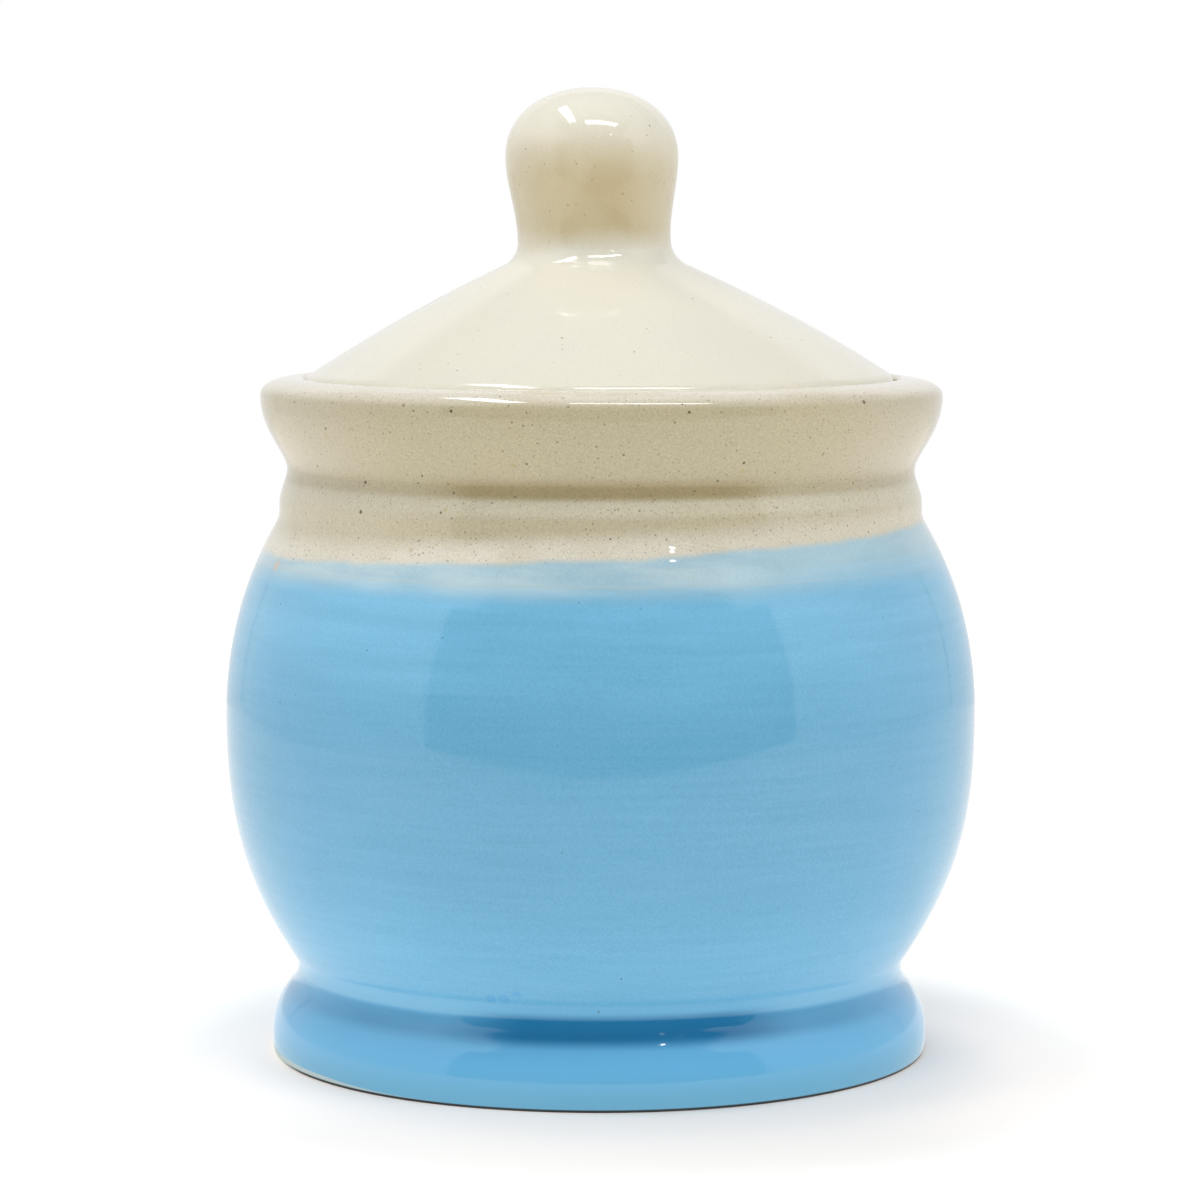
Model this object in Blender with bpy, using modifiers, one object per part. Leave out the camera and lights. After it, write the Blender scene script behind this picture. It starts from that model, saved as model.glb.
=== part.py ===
"""A glazed stoneware spice jar with a lift-off lid, in metres, standing on the plane z = 0.

The jar is one fired body: a ring foot, a full belly, a short neck band and a flared collar with a
ledge inside it. The lid is a second fired body: it drops into the collar, rests on the ledge and is
centred by a ring on its underside. Both are turned about the Z axis.
"""

import math

import bmesh
import bpy

MM = 0.001

# Foot: a flared ring with a recessed underside
FOOT_RADIUS = 43.75 * MM
FOOT_HEIGHT = 10.9 * MM
FOOT_EDGE_WIDTH = 0.85 * MM
FOOT_EDGE_HEIGHT = 1.85 * MM
FOOT_RING_WIDTH = 5.5 * MM
FOOT_FLARE_LEAN = math.radians(42.0)
FOOT_FLARE_PULL = 3.15 * MM
FOOT_WAIST_PULL = 1.6 * MM
RECESS_DEPTH = 3.0 * MM
RECESS_DRAFT = 1.2 * MM
RECESS_ROUND = 0.8 * MM

# Belly: widest at mid height, drawn in to the waist below and to the neck above
WAIST_RADIUS = 39.4 * MM
WAIST_ROUND = 3.45 * MM
BELLY_RADIUS = 50.0 * MM
BELLY_RISE = 34.2 * MM
BELLY_LEAN = math.radians(32.6)
BELLY_WAIST_PULL = 12.15 * MM
BELLY_LOWER_PULL = 14.6 * MM
BELLY_UPPER_PULL = 12.15 * MM
SHOULDER_RISE = 26.5 * MM
SHOULDER_LEAN = math.radians(29.6)
SHOULDER_PULL = 6.4 * MM
SHOULDER_ROUND = 6.4 * MM
WALL = 4.6 * MM
FLOOR_THICKNESS = 5.5 * MM
FLOOR_ROUND = 8.0 * MM

# Neck and collar: a plain band, a shallow groove and a flare up to the rim
NECK_RADIUS = 41.9 * MM
NECK_WALL = 5.4 * MM
NECK_GROOVE_DEPTH = 0.75 * MM
NECK_BAND_HEIGHT = 2.6 * MM
NECK_GROOVE_RISE = 3.2 * MM
NECK_GROOVE_PULL = 1.4 * MM
MOUTH_ROUND = 4.0 * MM
COLLAR_HEIGHT = 12.6 * MM
COLLAR_LOWER_PULL = 2.95 * MM
COLLAR_UPPER_PULL = 4.7 * MM
LEDGE_WIDTH = 3.0 * MM
LEDGE_DEPTH = 5.5 * MM
LEDGE_ROUND = 0.7 * MM
RIM_WALL = 5.75 * MM
RIM_INNER_ROUND = 1.4 * MM
RIM_CROWN = 2.4 * MM
RIM_CREST_PULL = 3.4 * MM
RIM_LIP_PULL = 1.9 * MM

# Lid: a flange in the collar, a low dome, a centring ring below and a bulb knob on top
LID_SEAT_GAP = 0.3 * MM
LID_EDGE_CLEARANCE = 0.7 * MM
LID_FLANGE = 5.3 * MM
LID_EDGE_ROUND = 3.5 * MM
LID_UNDER_ROUND = 0.7 * MM
LID_WALL = 4.5 * MM
LID_HOLLOW_ROUND = 2.5 * MM
DOME_RISE = 15.45 * MM
DOME_EDGE_SLOPE = math.radians(32.8)
DOME_STEM_SLOPE = math.radians(24.4)
DOME_PULL = 8.0 * MM
RING_CLEARANCE = 0.9 * MM
RING_DROP = 5.0 * MM
RING_WALL = 4.1 * MM
RING_ROUND = 1.2 * MM
STEM_RADIUS = 10.2 * MM
STEM_RISE = 2.8 * MM
STEM_FILLET = 3.5 * MM
KNOB_RADIUS = 11.5 * MM
KNOB_RISE = 10.6 * MM
KNOB_LOWER_PULL = 3.5 * MM
KNOB_CROWN = 9.1 * MM
KNOB_CROWN_FULLNESS = 0.61

# Heights and radii that follow from the sizes above
SEAT_RADIUS = FOOT_RADIUS - FOOT_EDGE_WIDTH
FLOOR_Z = RECESS_DEPTH + FLOOR_THICKNESS
BELLY_Z = FOOT_HEIGHT + BELLY_RISE
NECK_Z = BELLY_Z + SHOULDER_RISE
BAND_RADIUS = NECK_RADIUS + NECK_GROOVE_DEPTH
BAND_TOP_Z = NECK_Z + NECK_BAND_HEIGHT
GROOVE_Z = BAND_TOP_Z + NECK_GROOVE_RISE
RIM_Z = GROOVE_Z + COLLAR_HEIGHT
LEDGE_Z = RIM_Z - LEDGE_DEPTH
MOUTH_RADIUS = NECK_RADIUS - NECK_WALL
COLLAR_BORE = MOUTH_RADIUS + LEDGE_WIDTH
LIP_RADIUS = COLLAR_BORE + RIM_WALL
CREST_RADIUS = COLLAR_BORE + RIM_INNER_ROUND
LIP_Z = RIM_Z - RIM_CROWN
LID_RADIUS = COLLAR_BORE - LID_EDGE_CLEARANCE
RING_RADIUS = MOUTH_RADIUS - RING_CLEARANCE
RING_BORE = RING_RADIUS - RING_WALL
LID_SEAT_Z = LEDGE_Z + LID_SEAT_GAP

# How finely the turned pieces are faceted
TURN_STEPS = 40
LONG_CURVE_STEPS = 10
SHORT_CURVE_STEPS = 6
FLARE_STEPS = 7
CROWN_STEPS = 8
ARC_STEPS = 4
SMALL_ARC_STEPS = 3
MERGE_DISTANCE = 0.00001
SHARP_ANGLE = math.radians(50.0)

# Colours of the two glazes, and how rough each one is
BLUE_COLOUR = (0.22, 0.42, 0.62)
BLUE_ROUGHNESS = 0.14
CREAM_COLOUR = (0.72, 0.69, 0.60)
CREAM_ROUGHNESS = 0.16

# Directions in the section, as (radius, height)
UP = (0.0, 1.0)
DOWN = (0.0, -1.0)
OUT = (1.0, 0.0)
IN = (-1.0, 0.0)


def along(point, direction, distance):
    """The point this far from another, in a (radius, height) direction."""
    return (point[0] + direction[0] * distance, point[1] + direction[1] * distance)


def leaning(angle):
    """The upward direction that leans outward from the vertical by an angle."""
    return (math.sin(angle), math.cos(angle))


def falling(angle):
    """The outward direction that falls below the horizontal by an angle."""
    return (math.cos(angle), -math.sin(angle))


def reverse(direction):
    """The opposite direction."""
    return (-direction[0], -direction[1])


def cubic(start, start_control, end_control, end, count):
    """Points along a cubic curve, both ends included."""
    points = []
    for step in range(count + 1):
        t = step / count
        s = 1.0 - t
        weights = (s * s * s, 3.0 * s * s * t, 3.0 * s * t * t, t * t * t)
        corners = (start, start_control, end_control, end)
        radius = sum(w * p[0] for w, p in zip(weights, corners))
        height = sum(w * p[1] for w, p in zip(weights, corners))
        points.append((radius, height))
    return points


def rounded(arriving, corner, leaving, radius, count=ARC_STEPS):
    """An arc that rounds a corner between the directions of arriving and leaving."""
    cosine = arriving[0] * leaving[0] + arriving[1] * leaving[1]
    turn = math.acos(max(-1.0, min(1.0, cosine)))
    side = math.copysign(1.0, arriving[0] * leaving[1] - arriving[1] * leaving[0])
    start = along(corner, arriving, -radius * math.tan(turn / 2.0))
    centre = along(start, (-arriving[1] * side, arriving[0] * side), radius)
    spoke = (start[0] - centre[0], start[1] - centre[1])
    points = []
    for step in range(count + 1):
        angle = side * turn * step / count
        cos_a = math.cos(angle)
        sin_a = math.sin(angle)
        radius_at = centre[0] + spoke[0] * cos_a - spoke[1] * sin_a
        height_at = centre[1] + spoke[0] * sin_a + spoke[1] * cos_a
        points.append((radius_at, height_at))
    return points


def elliptic(centre, width, height, first, last, count):
    """Points on an ellipse about a centre, between two angles counted from outward to upward."""
    points = []
    for step in range(count + 1):
        angle = first + (last - first) * step / count
        points.append((centre[0] + width * math.cos(angle), centre[1] + height * math.sin(angle)))
    return points


def inset(points, distance):
    """The line at a distance to the left of a line of points, as one walks along it."""
    moved = []
    for index, point in enumerate(points):
        before = points[max(index - 1, 0)]
        after = points[min(index + 1, len(points) - 1)]
        run = (after[0] - before[0], after[1] - before[1])
        length = math.hypot(run[0], run[1])
        moved.append(along(point, (-run[1] / length, run[0] / length), distance))
    return moved


def reach_height(point, direction, height):
    """Where a straight line from a point gets to a height."""
    return along(point, direction, (height - point[1]) / direction[1])


def reach_radius(point, direction, radius):
    """Where a straight line from a point gets to a radius."""
    return along(point, direction, (radius - point[0]) / direction[0])


def waist_arc():
    """The crease between foot and belly, from below."""
    corner = (WAIST_RADIUS, FOOT_HEIGHT)
    return rounded(leaning(-FOOT_FLARE_LEAN), corner, leaning(BELLY_LEAN), WAIST_ROUND)


def shoulder_arc():
    """The hollow between shoulder and neck band, from below."""
    return rounded(leaning(-SHOULDER_LEAN), (BAND_RADIUS, NECK_Z), UP, SHOULDER_ROUND)


def belly_line():
    """The outside of the belly, from the waist up to the shoulder."""
    bottom = waist_arc()[-1]
    top = shoulder_arc()[0]
    widest = (BELLY_RADIUS, BELLY_Z)
    lower = cubic(
        bottom,
        along(bottom, leaning(BELLY_LEAN), BELLY_WAIST_PULL),
        along(widest, DOWN, BELLY_LOWER_PULL),
        widest,
        LONG_CURVE_STEPS,
    )
    upper = cubic(
        widest,
        along(widest, UP, BELLY_UPPER_PULL),
        along(top, leaning(-SHOULDER_LEAN), -SHOULDER_PULL),
        top,
        LONG_CURVE_STEPS,
    )
    return lower + upper[1:]


def foot_line():
    """The outside of the foot, from the table up to the waist."""
    edge_centre = (SEAT_RADIUS, FOOT_EDGE_HEIGHT)
    edge = elliptic(edge_centre, FOOT_EDGE_WIDTH, FOOT_EDGE_HEIGHT, -math.pi / 2.0, 0.0, ARC_STEPS)
    widest = edge[-1]
    waist = waist_arc()[0]
    flare = cubic(
        widest,
        along(widest, UP, FOOT_FLARE_PULL),
        along(waist, leaning(-FOOT_FLARE_LEAN), -FOOT_WAIST_PULL),
        waist,
        SHORT_CURVE_STEPS,
    )
    return edge + flare[1:]


def collar_line():
    """The outside of neck band, groove and collar, from the shoulder up to the lip."""
    band_top = (BAND_RADIUS, BAND_TOP_Z)
    groove = (NECK_RADIUS, GROOVE_Z)
    lip = (LIP_RADIUS, LIP_Z)
    step_in = cubic(
        band_top,
        along(band_top, UP, NECK_GROOVE_PULL),
        along(groove, DOWN, NECK_GROOVE_PULL),
        groove,
        ARC_STEPS,
    )
    flare = cubic(
        groove,
        along(groove, UP, COLLAR_LOWER_PULL),
        along(lip, DOWN, COLLAR_UPPER_PULL),
        lip,
        FLARE_STEPS,
    )
    return step_in + flare[1:]


def rim_line():
    """The rim, from the collar's bore over the crest to the lip."""
    inner_centre = (CREST_RADIUS, RIM_Z - RIM_INNER_ROUND)
    inner = elliptic(inner_centre, RIM_INNER_ROUND, RIM_INNER_ROUND, math.pi, math.pi / 2.0, ARC_STEPS)
    crest = (CREST_RADIUS, RIM_Z)
    lip = (LIP_RADIUS, LIP_Z)
    outer = cubic(
        crest,
        along(crest, OUT, RIM_CREST_PULL),
        along(lip, UP, RIM_LIP_PULL),
        lip,
        SHORT_CURVE_STEPS,
    )
    return inner + outer[1:]


def jar_inside():
    """The inside, from the middle of the floor up the wall to the collar's bore."""
    wall = inset(belly_line(), WALL)
    foot_of_wall = reach_height(wall[0], leaning(BELLY_LEAN), FLOOR_Z)
    top_of_wall = reach_radius(wall[-1], leaning(-SHOULDER_LEAN), MOUTH_RADIUS)
    points = [(0.0, FLOOR_Z)]
    points += rounded(OUT, foot_of_wall, leaning(BELLY_LEAN), FLOOR_ROUND)
    points += wall[2:-1:2]
    points += rounded(leaning(-SHOULDER_LEAN), top_of_wall, UP, MOUTH_ROUND, SMALL_ARC_STEPS)
    points += rounded(UP, (MOUTH_RADIUS, LEDGE_Z), OUT, LEDGE_ROUND, SMALL_ARC_STEPS)
    points += rounded(OUT, (COLLAR_BORE, LEDGE_Z), UP, LEDGE_ROUND, SMALL_ARC_STEPS)
    return points


def jar_underside():
    """The flat foot ring and the recess inside it, from the outer edge to the middle."""
    ring_edge = (SEAT_RADIUS - FOOT_RING_WIDTH, 0.0)
    ceiling_edge = (ring_edge[0] - RECESS_DRAFT, RECESS_DEPTH)
    slope = math.atan2(RECESS_DRAFT, RECESS_DEPTH)
    points = rounded(IN, ring_edge, leaning(-slope), RECESS_ROUND, SMALL_ARC_STEPS)
    points += rounded(leaning(-slope), ceiling_edge, IN, RECESS_ROUND, SMALL_ARC_STEPS)
    points.append((0.0, RECESS_DEPTH))
    return points


def jar_profile():
    """The whole section of the jar, from its floor up the inside, down the outside and under the foot."""
    outside = foot_line() + waist_arc()[1:-1] + belly_line() + shoulder_arc()[1:] + collar_line()
    return jar_inside() + rim_line() + outside[-2::-1] + jar_underside()


def knob_line():
    """The outside of the knob, from its top down to the narrow of the stem."""
    stem = (STEM_RADIUS, LID_FLANGE + DOME_RISE + STEM_RISE)
    widest = (KNOB_RADIUS, stem[1] + KNOB_RISE)
    top = (0.0, widest[1] + KNOB_CROWN)
    crown = cubic(
        top,
        along(top, OUT, KNOB_RADIUS * KNOB_CROWN_FULLNESS),
        along(widest, UP, KNOB_CROWN * KNOB_CROWN_FULLNESS),
        widest,
        CROWN_STEPS,
    )
    neck = cubic(
        widest,
        along(widest, DOWN, KNOB_LOWER_PULL),
        along(stem, UP, KNOB_LOWER_PULL),
        stem,
        SHORT_CURVE_STEPS,
    )
    return crown + neck[1:]


def dome_line():
    """The top of the lid, from the stem's fillet out to its rounded edge."""
    foot_of_stem = (STEM_RADIUS, LID_FLANGE + DOME_RISE)
    fillet = rounded(DOWN, foot_of_stem, falling(DOME_STEM_SLOPE), STEM_FILLET)
    edge = rounded(falling(DOME_EDGE_SLOPE), (LID_RADIUS, LID_FLANGE), DOWN, LID_EDGE_ROUND)
    dome = cubic(
        fillet[-1],
        along(fillet[-1], falling(DOME_STEM_SLOPE), DOME_PULL),
        along(edge[0], falling(DOME_EDGE_SLOPE), -DOME_PULL),
        edge[0],
        SHORT_CURVE_STEPS,
    )
    return fillet + dome[1:-1] + edge


def lid_underside():
    """The flange's seat, the centring ring and the hollow under the dome, from the edge to the middle."""
    points = rounded(DOWN, (LID_RADIUS, 0.0), IN, LID_UNDER_ROUND, SMALL_ARC_STEPS)
    points += rounded(IN, (RING_RADIUS, 0.0), DOWN, LID_UNDER_ROUND, SMALL_ARC_STEPS)
    points += rounded(DOWN, (RING_RADIUS, -RING_DROP), IN, RING_ROUND, SMALL_ARC_STEPS)
    points += rounded(IN, (RING_BORE, -RING_DROP), UP, RING_ROUND, SMALL_ARC_STEPS)
    rise = math.tan(DOME_EDGE_SLOPE) * (LID_RADIUS - RING_BORE)
    spring = (RING_BORE, LID_FLANGE + rise - LID_WALL / math.cos(DOME_EDGE_SLOPE))
    middle = (0.0, LID_FLANGE + DOME_RISE - LID_WALL)
    climb = reverse(falling(DOME_EDGE_SLOPE))
    points += rounded(UP, spring, climb, LID_HOLLOW_ROUND, SMALL_ARC_STEPS)
    points += cubic(
        points[-1],
        along(points[-1], climb, DOME_PULL),
        along(middle, OUT, STEM_RADIUS),
        middle,
        SHORT_CURVE_STEPS,
    )[1:]
    return points


def lid_profile():
    """The whole section of the lid, above and below its seat at height 0."""
    return knob_line() + dome_line() + lid_underside()


def glaze(name, colour, roughness):
    """A fired glaze: a plain glossy dielectric."""
    material = bpy.data.materials.new(name)
    material.use_nodes = True
    shader = material.node_tree.nodes["Principled BSDF"]
    shader.inputs["Base Color"].default_value = (*colour, 1.0)
    shader.inputs["Roughness"].default_value = roughness
    shader.inputs["Metallic"].default_value = 0.0
    material.diffuse_color = (*colour, 1.0)
    return material


def turned(name, profile, seat_height, material, collection):
    """A piece turned about the Z axis from its section, with its origin on the axis at its seat."""
    mesh = bpy.data.meshes.new(name)
    section = bmesh.new()
    verts = [section.verts.new((radius, 0.0, height)) for radius, height in profile]
    for start, end in zip(verts, verts[1:]):
        section.edges.new((start, end))
    section.to_mesh(mesh)
    section.free()
    mesh.materials.append(material)
    piece = bpy.data.objects.new(name, mesh)
    piece.location = (0.0, 0.0, seat_height)
    collection.objects.link(piece)
    turn = piece.modifiers.new("turn", "SCREW")
    turn.axis = "Z"
    turn.angle = math.tau
    turn.steps = TURN_STEPS
    turn.render_steps = TURN_STEPS
    turn.use_merge_vertices = True
    turn.merge_threshold = MERGE_DISTANCE
    turn.use_smooth_shade = True
    return piece


def bake_turn(piece):
    """Keeps the turned shape as the piece's mesh, smooth but for its sharp edges."""
    graph = bpy.context.evaluated_depsgraph_get()
    mesh = bpy.data.meshes.new_from_object(piece.evaluated_get(graph))
    piece.modifiers.clear()
    piece.data = mesh
    mesh.shade_smooth()
    mesh.set_sharp_from_angle(angle=SHARP_ANGLE)


def clear_scene():
    """Removes every object of the scene."""
    for thing in list(bpy.data.objects):
        bpy.data.objects.remove(thing, do_unlink=True)


def main():
    """Builds the jar and its lid."""
    clear_scene()
    spice_jar = bpy.data.collections.new("spice_jar")
    bpy.context.scene.collection.children.link(spice_jar)
    blue = glaze("blue_glaze", BLUE_COLOUR, BLUE_ROUGHNESS)
    cream = glaze("cream_glaze", CREAM_COLOUR, CREAM_ROUGHNESS)
    pieces = [
        turned("jar", jar_profile(), 0.0, blue, spice_jar),
        turned("lid", lid_profile(), LID_SEAT_Z, cream, spice_jar),
    ]
    bpy.context.view_layer.update()
    for piece in pieces:
        bake_turn(piece)


main()
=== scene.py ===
"""Looks of a glazed stoneware spice jar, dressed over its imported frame.

The jar and its lid are turned again at a fine step, with the small leanings of pieces thrown by hand. They
are dressed in procedural glazes: speckled cream, two dips of blue on the jar's outside, and bare clay on the
ledge, the lid's seat and the underside. A light tent, open at the front, lights them.
"""

import logging
import math
from dataclasses import dataclass
from enum import Enum
from typing import Sequence, Union

import bpy
import numpy as np
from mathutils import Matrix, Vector


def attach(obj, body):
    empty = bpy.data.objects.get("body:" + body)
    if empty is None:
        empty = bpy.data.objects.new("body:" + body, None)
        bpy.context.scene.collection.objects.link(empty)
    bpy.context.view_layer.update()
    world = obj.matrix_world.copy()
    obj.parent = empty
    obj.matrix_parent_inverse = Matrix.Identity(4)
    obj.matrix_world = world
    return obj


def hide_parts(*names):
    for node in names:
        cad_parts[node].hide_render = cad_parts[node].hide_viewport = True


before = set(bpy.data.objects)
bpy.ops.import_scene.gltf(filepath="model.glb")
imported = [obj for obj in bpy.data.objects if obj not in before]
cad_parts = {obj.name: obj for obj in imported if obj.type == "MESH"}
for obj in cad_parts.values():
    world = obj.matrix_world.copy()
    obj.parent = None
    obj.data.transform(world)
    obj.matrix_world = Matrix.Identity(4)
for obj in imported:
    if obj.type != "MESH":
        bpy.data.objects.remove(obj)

LOG = logging.getLogger("spice_jar")
MM = 0.001
PER_METRE = 1000.0
OPAQUE = 1.0
WATTS_PER_LEVEL = 4.0

Point = tuple[float, float]
Place = tuple[float, float, float]
Span = tuple[float, float]
Line = list[Point]
Colour = tuple[float, float, float]
Socket = bpy.types.NodeSocket
Feed = Union[float, Sequence[float], Socket]

WHITE: Colour = (1.0, 1.0, 1.0)
WHOLE: Span = (0.0, 1.0)
UP: Point = (0.0, 1.0)
DOWN: Point = (0.0, -1.0)
OUT: Point = (1.0, 0.0)
IN: Point = (-1.0, 0.0)


class Zone(Enum):
    """Which finish a stretch of a section takes."""

    OUTSIDE = 0
    INSIDE = 1
    BARE = 2


class MarkKind(Enum):
    """What a single mark in the glaze is made of."""

    IRON = "iron"
    OCHRE = "ochre"
    MISSED = "missed"
    GATHERED = "gathered"


def along(point: Point, direction: Point, distance: float) -> Point:
    """The point at a distance from another in a (radius, height) direction."""
    return (point[0] + direction[0] * distance, point[1] + direction[1] * distance)


def leaning(angle: float) -> Point:
    """The upward direction that leans outward from the vertical by an angle."""
    return (math.sin(angle), math.cos(angle))


def falling(angle: float) -> Point:
    """The outward direction that falls below the horizontal by an angle."""
    return (math.cos(angle), -math.sin(angle))


def reverse(direction: Point) -> Point:
    """The opposite direction."""
    return (-direction[0], -direction[1])


def reach_height(point: Point, direction: Point, height: float) -> Point:
    """Where a straight line from a point gets to a height."""
    return along(point, direction, (height - point[1]) / direction[1])


def reach_radius(point: Point, direction: Point, radius: float) -> Point:
    """Where a straight line from a point gets to a radius."""
    return along(point, direction, (radius - point[0]) / direction[0])


def ease(value: np.ndarray, low: float, high: float) -> np.ndarray:
    """A smooth rise from 0 at low to 1 at high.

    Args:
        value: Where to read the rise.
        low: Value at and below which it is 0.
        high: Value at and above which it is 1.

    Returns:
        The rise at each value.
    """
    share = np.clip((value - low) / (high - low), 0.0, 1.0)
    return share * share * (3.0 - 2.0 * share)


@dataclass(frozen=True)
class Rib:
    """The potter's rib: draws the lines of a turned section."""

    step: float = 0.45 * MM
    least: int = 6
    arc_fineness: float = 2.0

    def count(self, length: float) -> int:
        """How many steps a stroke of this length takes."""
        return max(self.least, math.ceil(length / self.step))

    def cubic(self, start: Point, start_pull: Point, end_pull: Point, end: Point) -> Line:
        """A cubic curve, both ends included.

        Args:
            start: First point.
            start_pull: Control point that the curve leaves towards.
            end_pull: Control point that the curve arrives from.
            end: Last point.

        Returns:
            Points along the curve.
        """
        corners = (start, start_pull, end_pull, end)
        length = sum(math.dist(a, b) for a, b in zip(corners, corners[1:]))
        count = self.count(length)
        line = []
        for index in range(count + 1):
            t = index / count
            s = 1.0 - t
            weights = (s * s * s, 3.0 * s * s * t, 3.0 * s * t * t, t * t * t)
            radius = sum(w * p[0] for w, p in zip(weights, corners))
            height = sum(w * p[1] for w, p in zip(weights, corners))
            line.append((radius, height))
        return line

    def rounded(self, arriving: Point, corner: Point, leaving: Point, radius: float) -> Line:
        """An arc that rounds a corner.

        Args:
            arriving: Direction in which the line comes to the corner.
            corner: Where the two straight runs would meet.
            leaving: Direction in which the line goes on.
            radius: Radius of the arc.

        Returns:
            Points along the arc.
        """
        cosine = arriving[0] * leaving[0] + arriving[1] * leaving[1]
        turn = math.acos(max(-1.0, min(1.0, cosine)))
        side = math.copysign(1.0, arriving[0] * leaving[1] - arriving[1] * leaving[0])
        start = along(corner, arriving, -radius * math.tan(turn / 2.0))
        centre = along(start, (-arriving[1] * side, arriving[0] * side), radius)
        spoke = (start[0] - centre[0], start[1] - centre[1])
        count = self.count(radius * turn * self.arc_fineness)
        line = []
        for index in range(count + 1):
            angle = side * turn * index / count
            cos_a = math.cos(angle)
            sin_a = math.sin(angle)
            out = centre[0] + spoke[0] * cos_a - spoke[1] * sin_a
            up = centre[1] + spoke[0] * sin_a + spoke[1] * cos_a
            line.append((out, up))
        return line

    def elliptic(self, centre: Point, width: float, height: float, first: float, last: float) -> Line:
        """Part of an ellipse.

        Args:
            centre: Its centre.
            width: Half its width.
            height: Half its height.
            first: Angle of the first point, counted from outward to upward.
            last: Angle of the last point.

        Returns:
            Points along the ellipse.
        """
        count = self.count((width + height) * abs(last - first))
        line = []
        for index in range(count + 1):
            angle = first + (last - first) * index / count
            line.append((centre[0] + width * math.cos(angle), centre[1] + height * math.sin(angle)))
        return line

    def straight(self, start: Point, end: Point) -> Line:
        """A straight run, both ends included.

        Args:
            start: First point.
            end: Last point.

        Returns:
            Points along the run.
        """
        count = self.count(math.dist(start, end))
        shares = [index / count for index in range(count + 1)]
        return [(start[0] + (end[0] - start[0]) * t, start[1] + (end[1] - start[1]) * t) for t in shares]

    def inset(self, line: Line, distance: float) -> Line:
        """The line at a distance to the left of another, as one walks along it.

        Args:
            line: The other line.
            distance: How far apart they are.

        Returns:
            Points along the new line.
        """
        moved = []
        for index, point in enumerate(line):
            before = line[max(index - 1, 0)]
            after = line[min(index + 1, len(line) - 1)]
            run = (after[0] - before[0], after[1] - before[1])
            length = math.hypot(run[0], run[1])
            moved.append(along(point, (-run[1] / length, run[0] / length), distance))
        return moved


@dataclass(frozen=True)
class Tilt:
    """A belt of the wall that dips to the right: it grows from low to full and is gone again at top."""

    slope: float
    low: float
    full: float
    fade: float = 1.0
    top: float = 2.0
    bore: float = 0.0
    rim: float = 1.0 * MM

    def drop(self, x: np.ndarray, z: np.ndarray, radius: np.ndarray) -> np.ndarray:
        """How far each point sinks, none of it inside the bore."""
        belt = ease(z, self.low, self.full) * (1.0 - ease(z, self.fade, self.top))
        return self.slope * x * belt * ease(radius, self.bore, self.rim)


@dataclass(frozen=True)
class HandLean:
    """The small ways in which a thrown piece leaves its true turned shape.

    heights and shifts give how far the axis has wandered sideways. oval, three_lobe and swell are how far the
    wall leaves the round, which it does more and more over the span of radius called growing.
    """

    heights: tuple[float, ...]
    shifts: tuple[float, ...]
    tilts: tuple[Tilt, ...] = ()
    oval: float = 0.0
    three_lobe: float = 0.0
    swell: float = 0.0
    swell_length: float = 30.0 * MM
    swell_waves: tuple[float, float] = (5.0, 8.0)
    swell_twist: float = 0.7
    oval_turn: float = 0.6
    lobe_turn: float = -1.1
    growing: Span = (2.0 * MM, 20.0 * MM)
    least_radius: float = 1.0 * MM

    def moved(self, points: np.ndarray) -> np.ndarray:
        """The points of a true turned piece, moved to where the hand left them.

        Args:
            points: An array of x, y, z rows.

        Returns:
            The moved rows.
        """
        x, y, z = points[:, 0], points[:, 1], points[:, 2]
        radius = np.hypot(x, y)
        angle = np.arctan2(x, -y)
        turn = z / self.swell_length * math.tau
        first, second = self.swell_waves
        wave = np.sin(angle * first + turn) + np.sin(angle * second - self.swell_twist * turn)
        oval = self.oval * np.cos(2.0 * angle + self.oval_turn)
        lobes = self.three_lobe * np.cos(3.0 * angle + self.lobe_turn)
        grow = oval + lobes + self.swell * wave
        factor = 1.0 + grow * ease(radius, *self.growing) / np.maximum(radius, self.least_radius)
        out = np.empty_like(points)
        out[:, 0] = x * factor + np.interp(z, self.heights, self.shifts)
        out[:, 1] = y * factor
        out[:, 2] = z - sum((tilt.drop(x, z, radius) for tilt in self.tilts), np.zeros_like(z))
        return out


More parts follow.
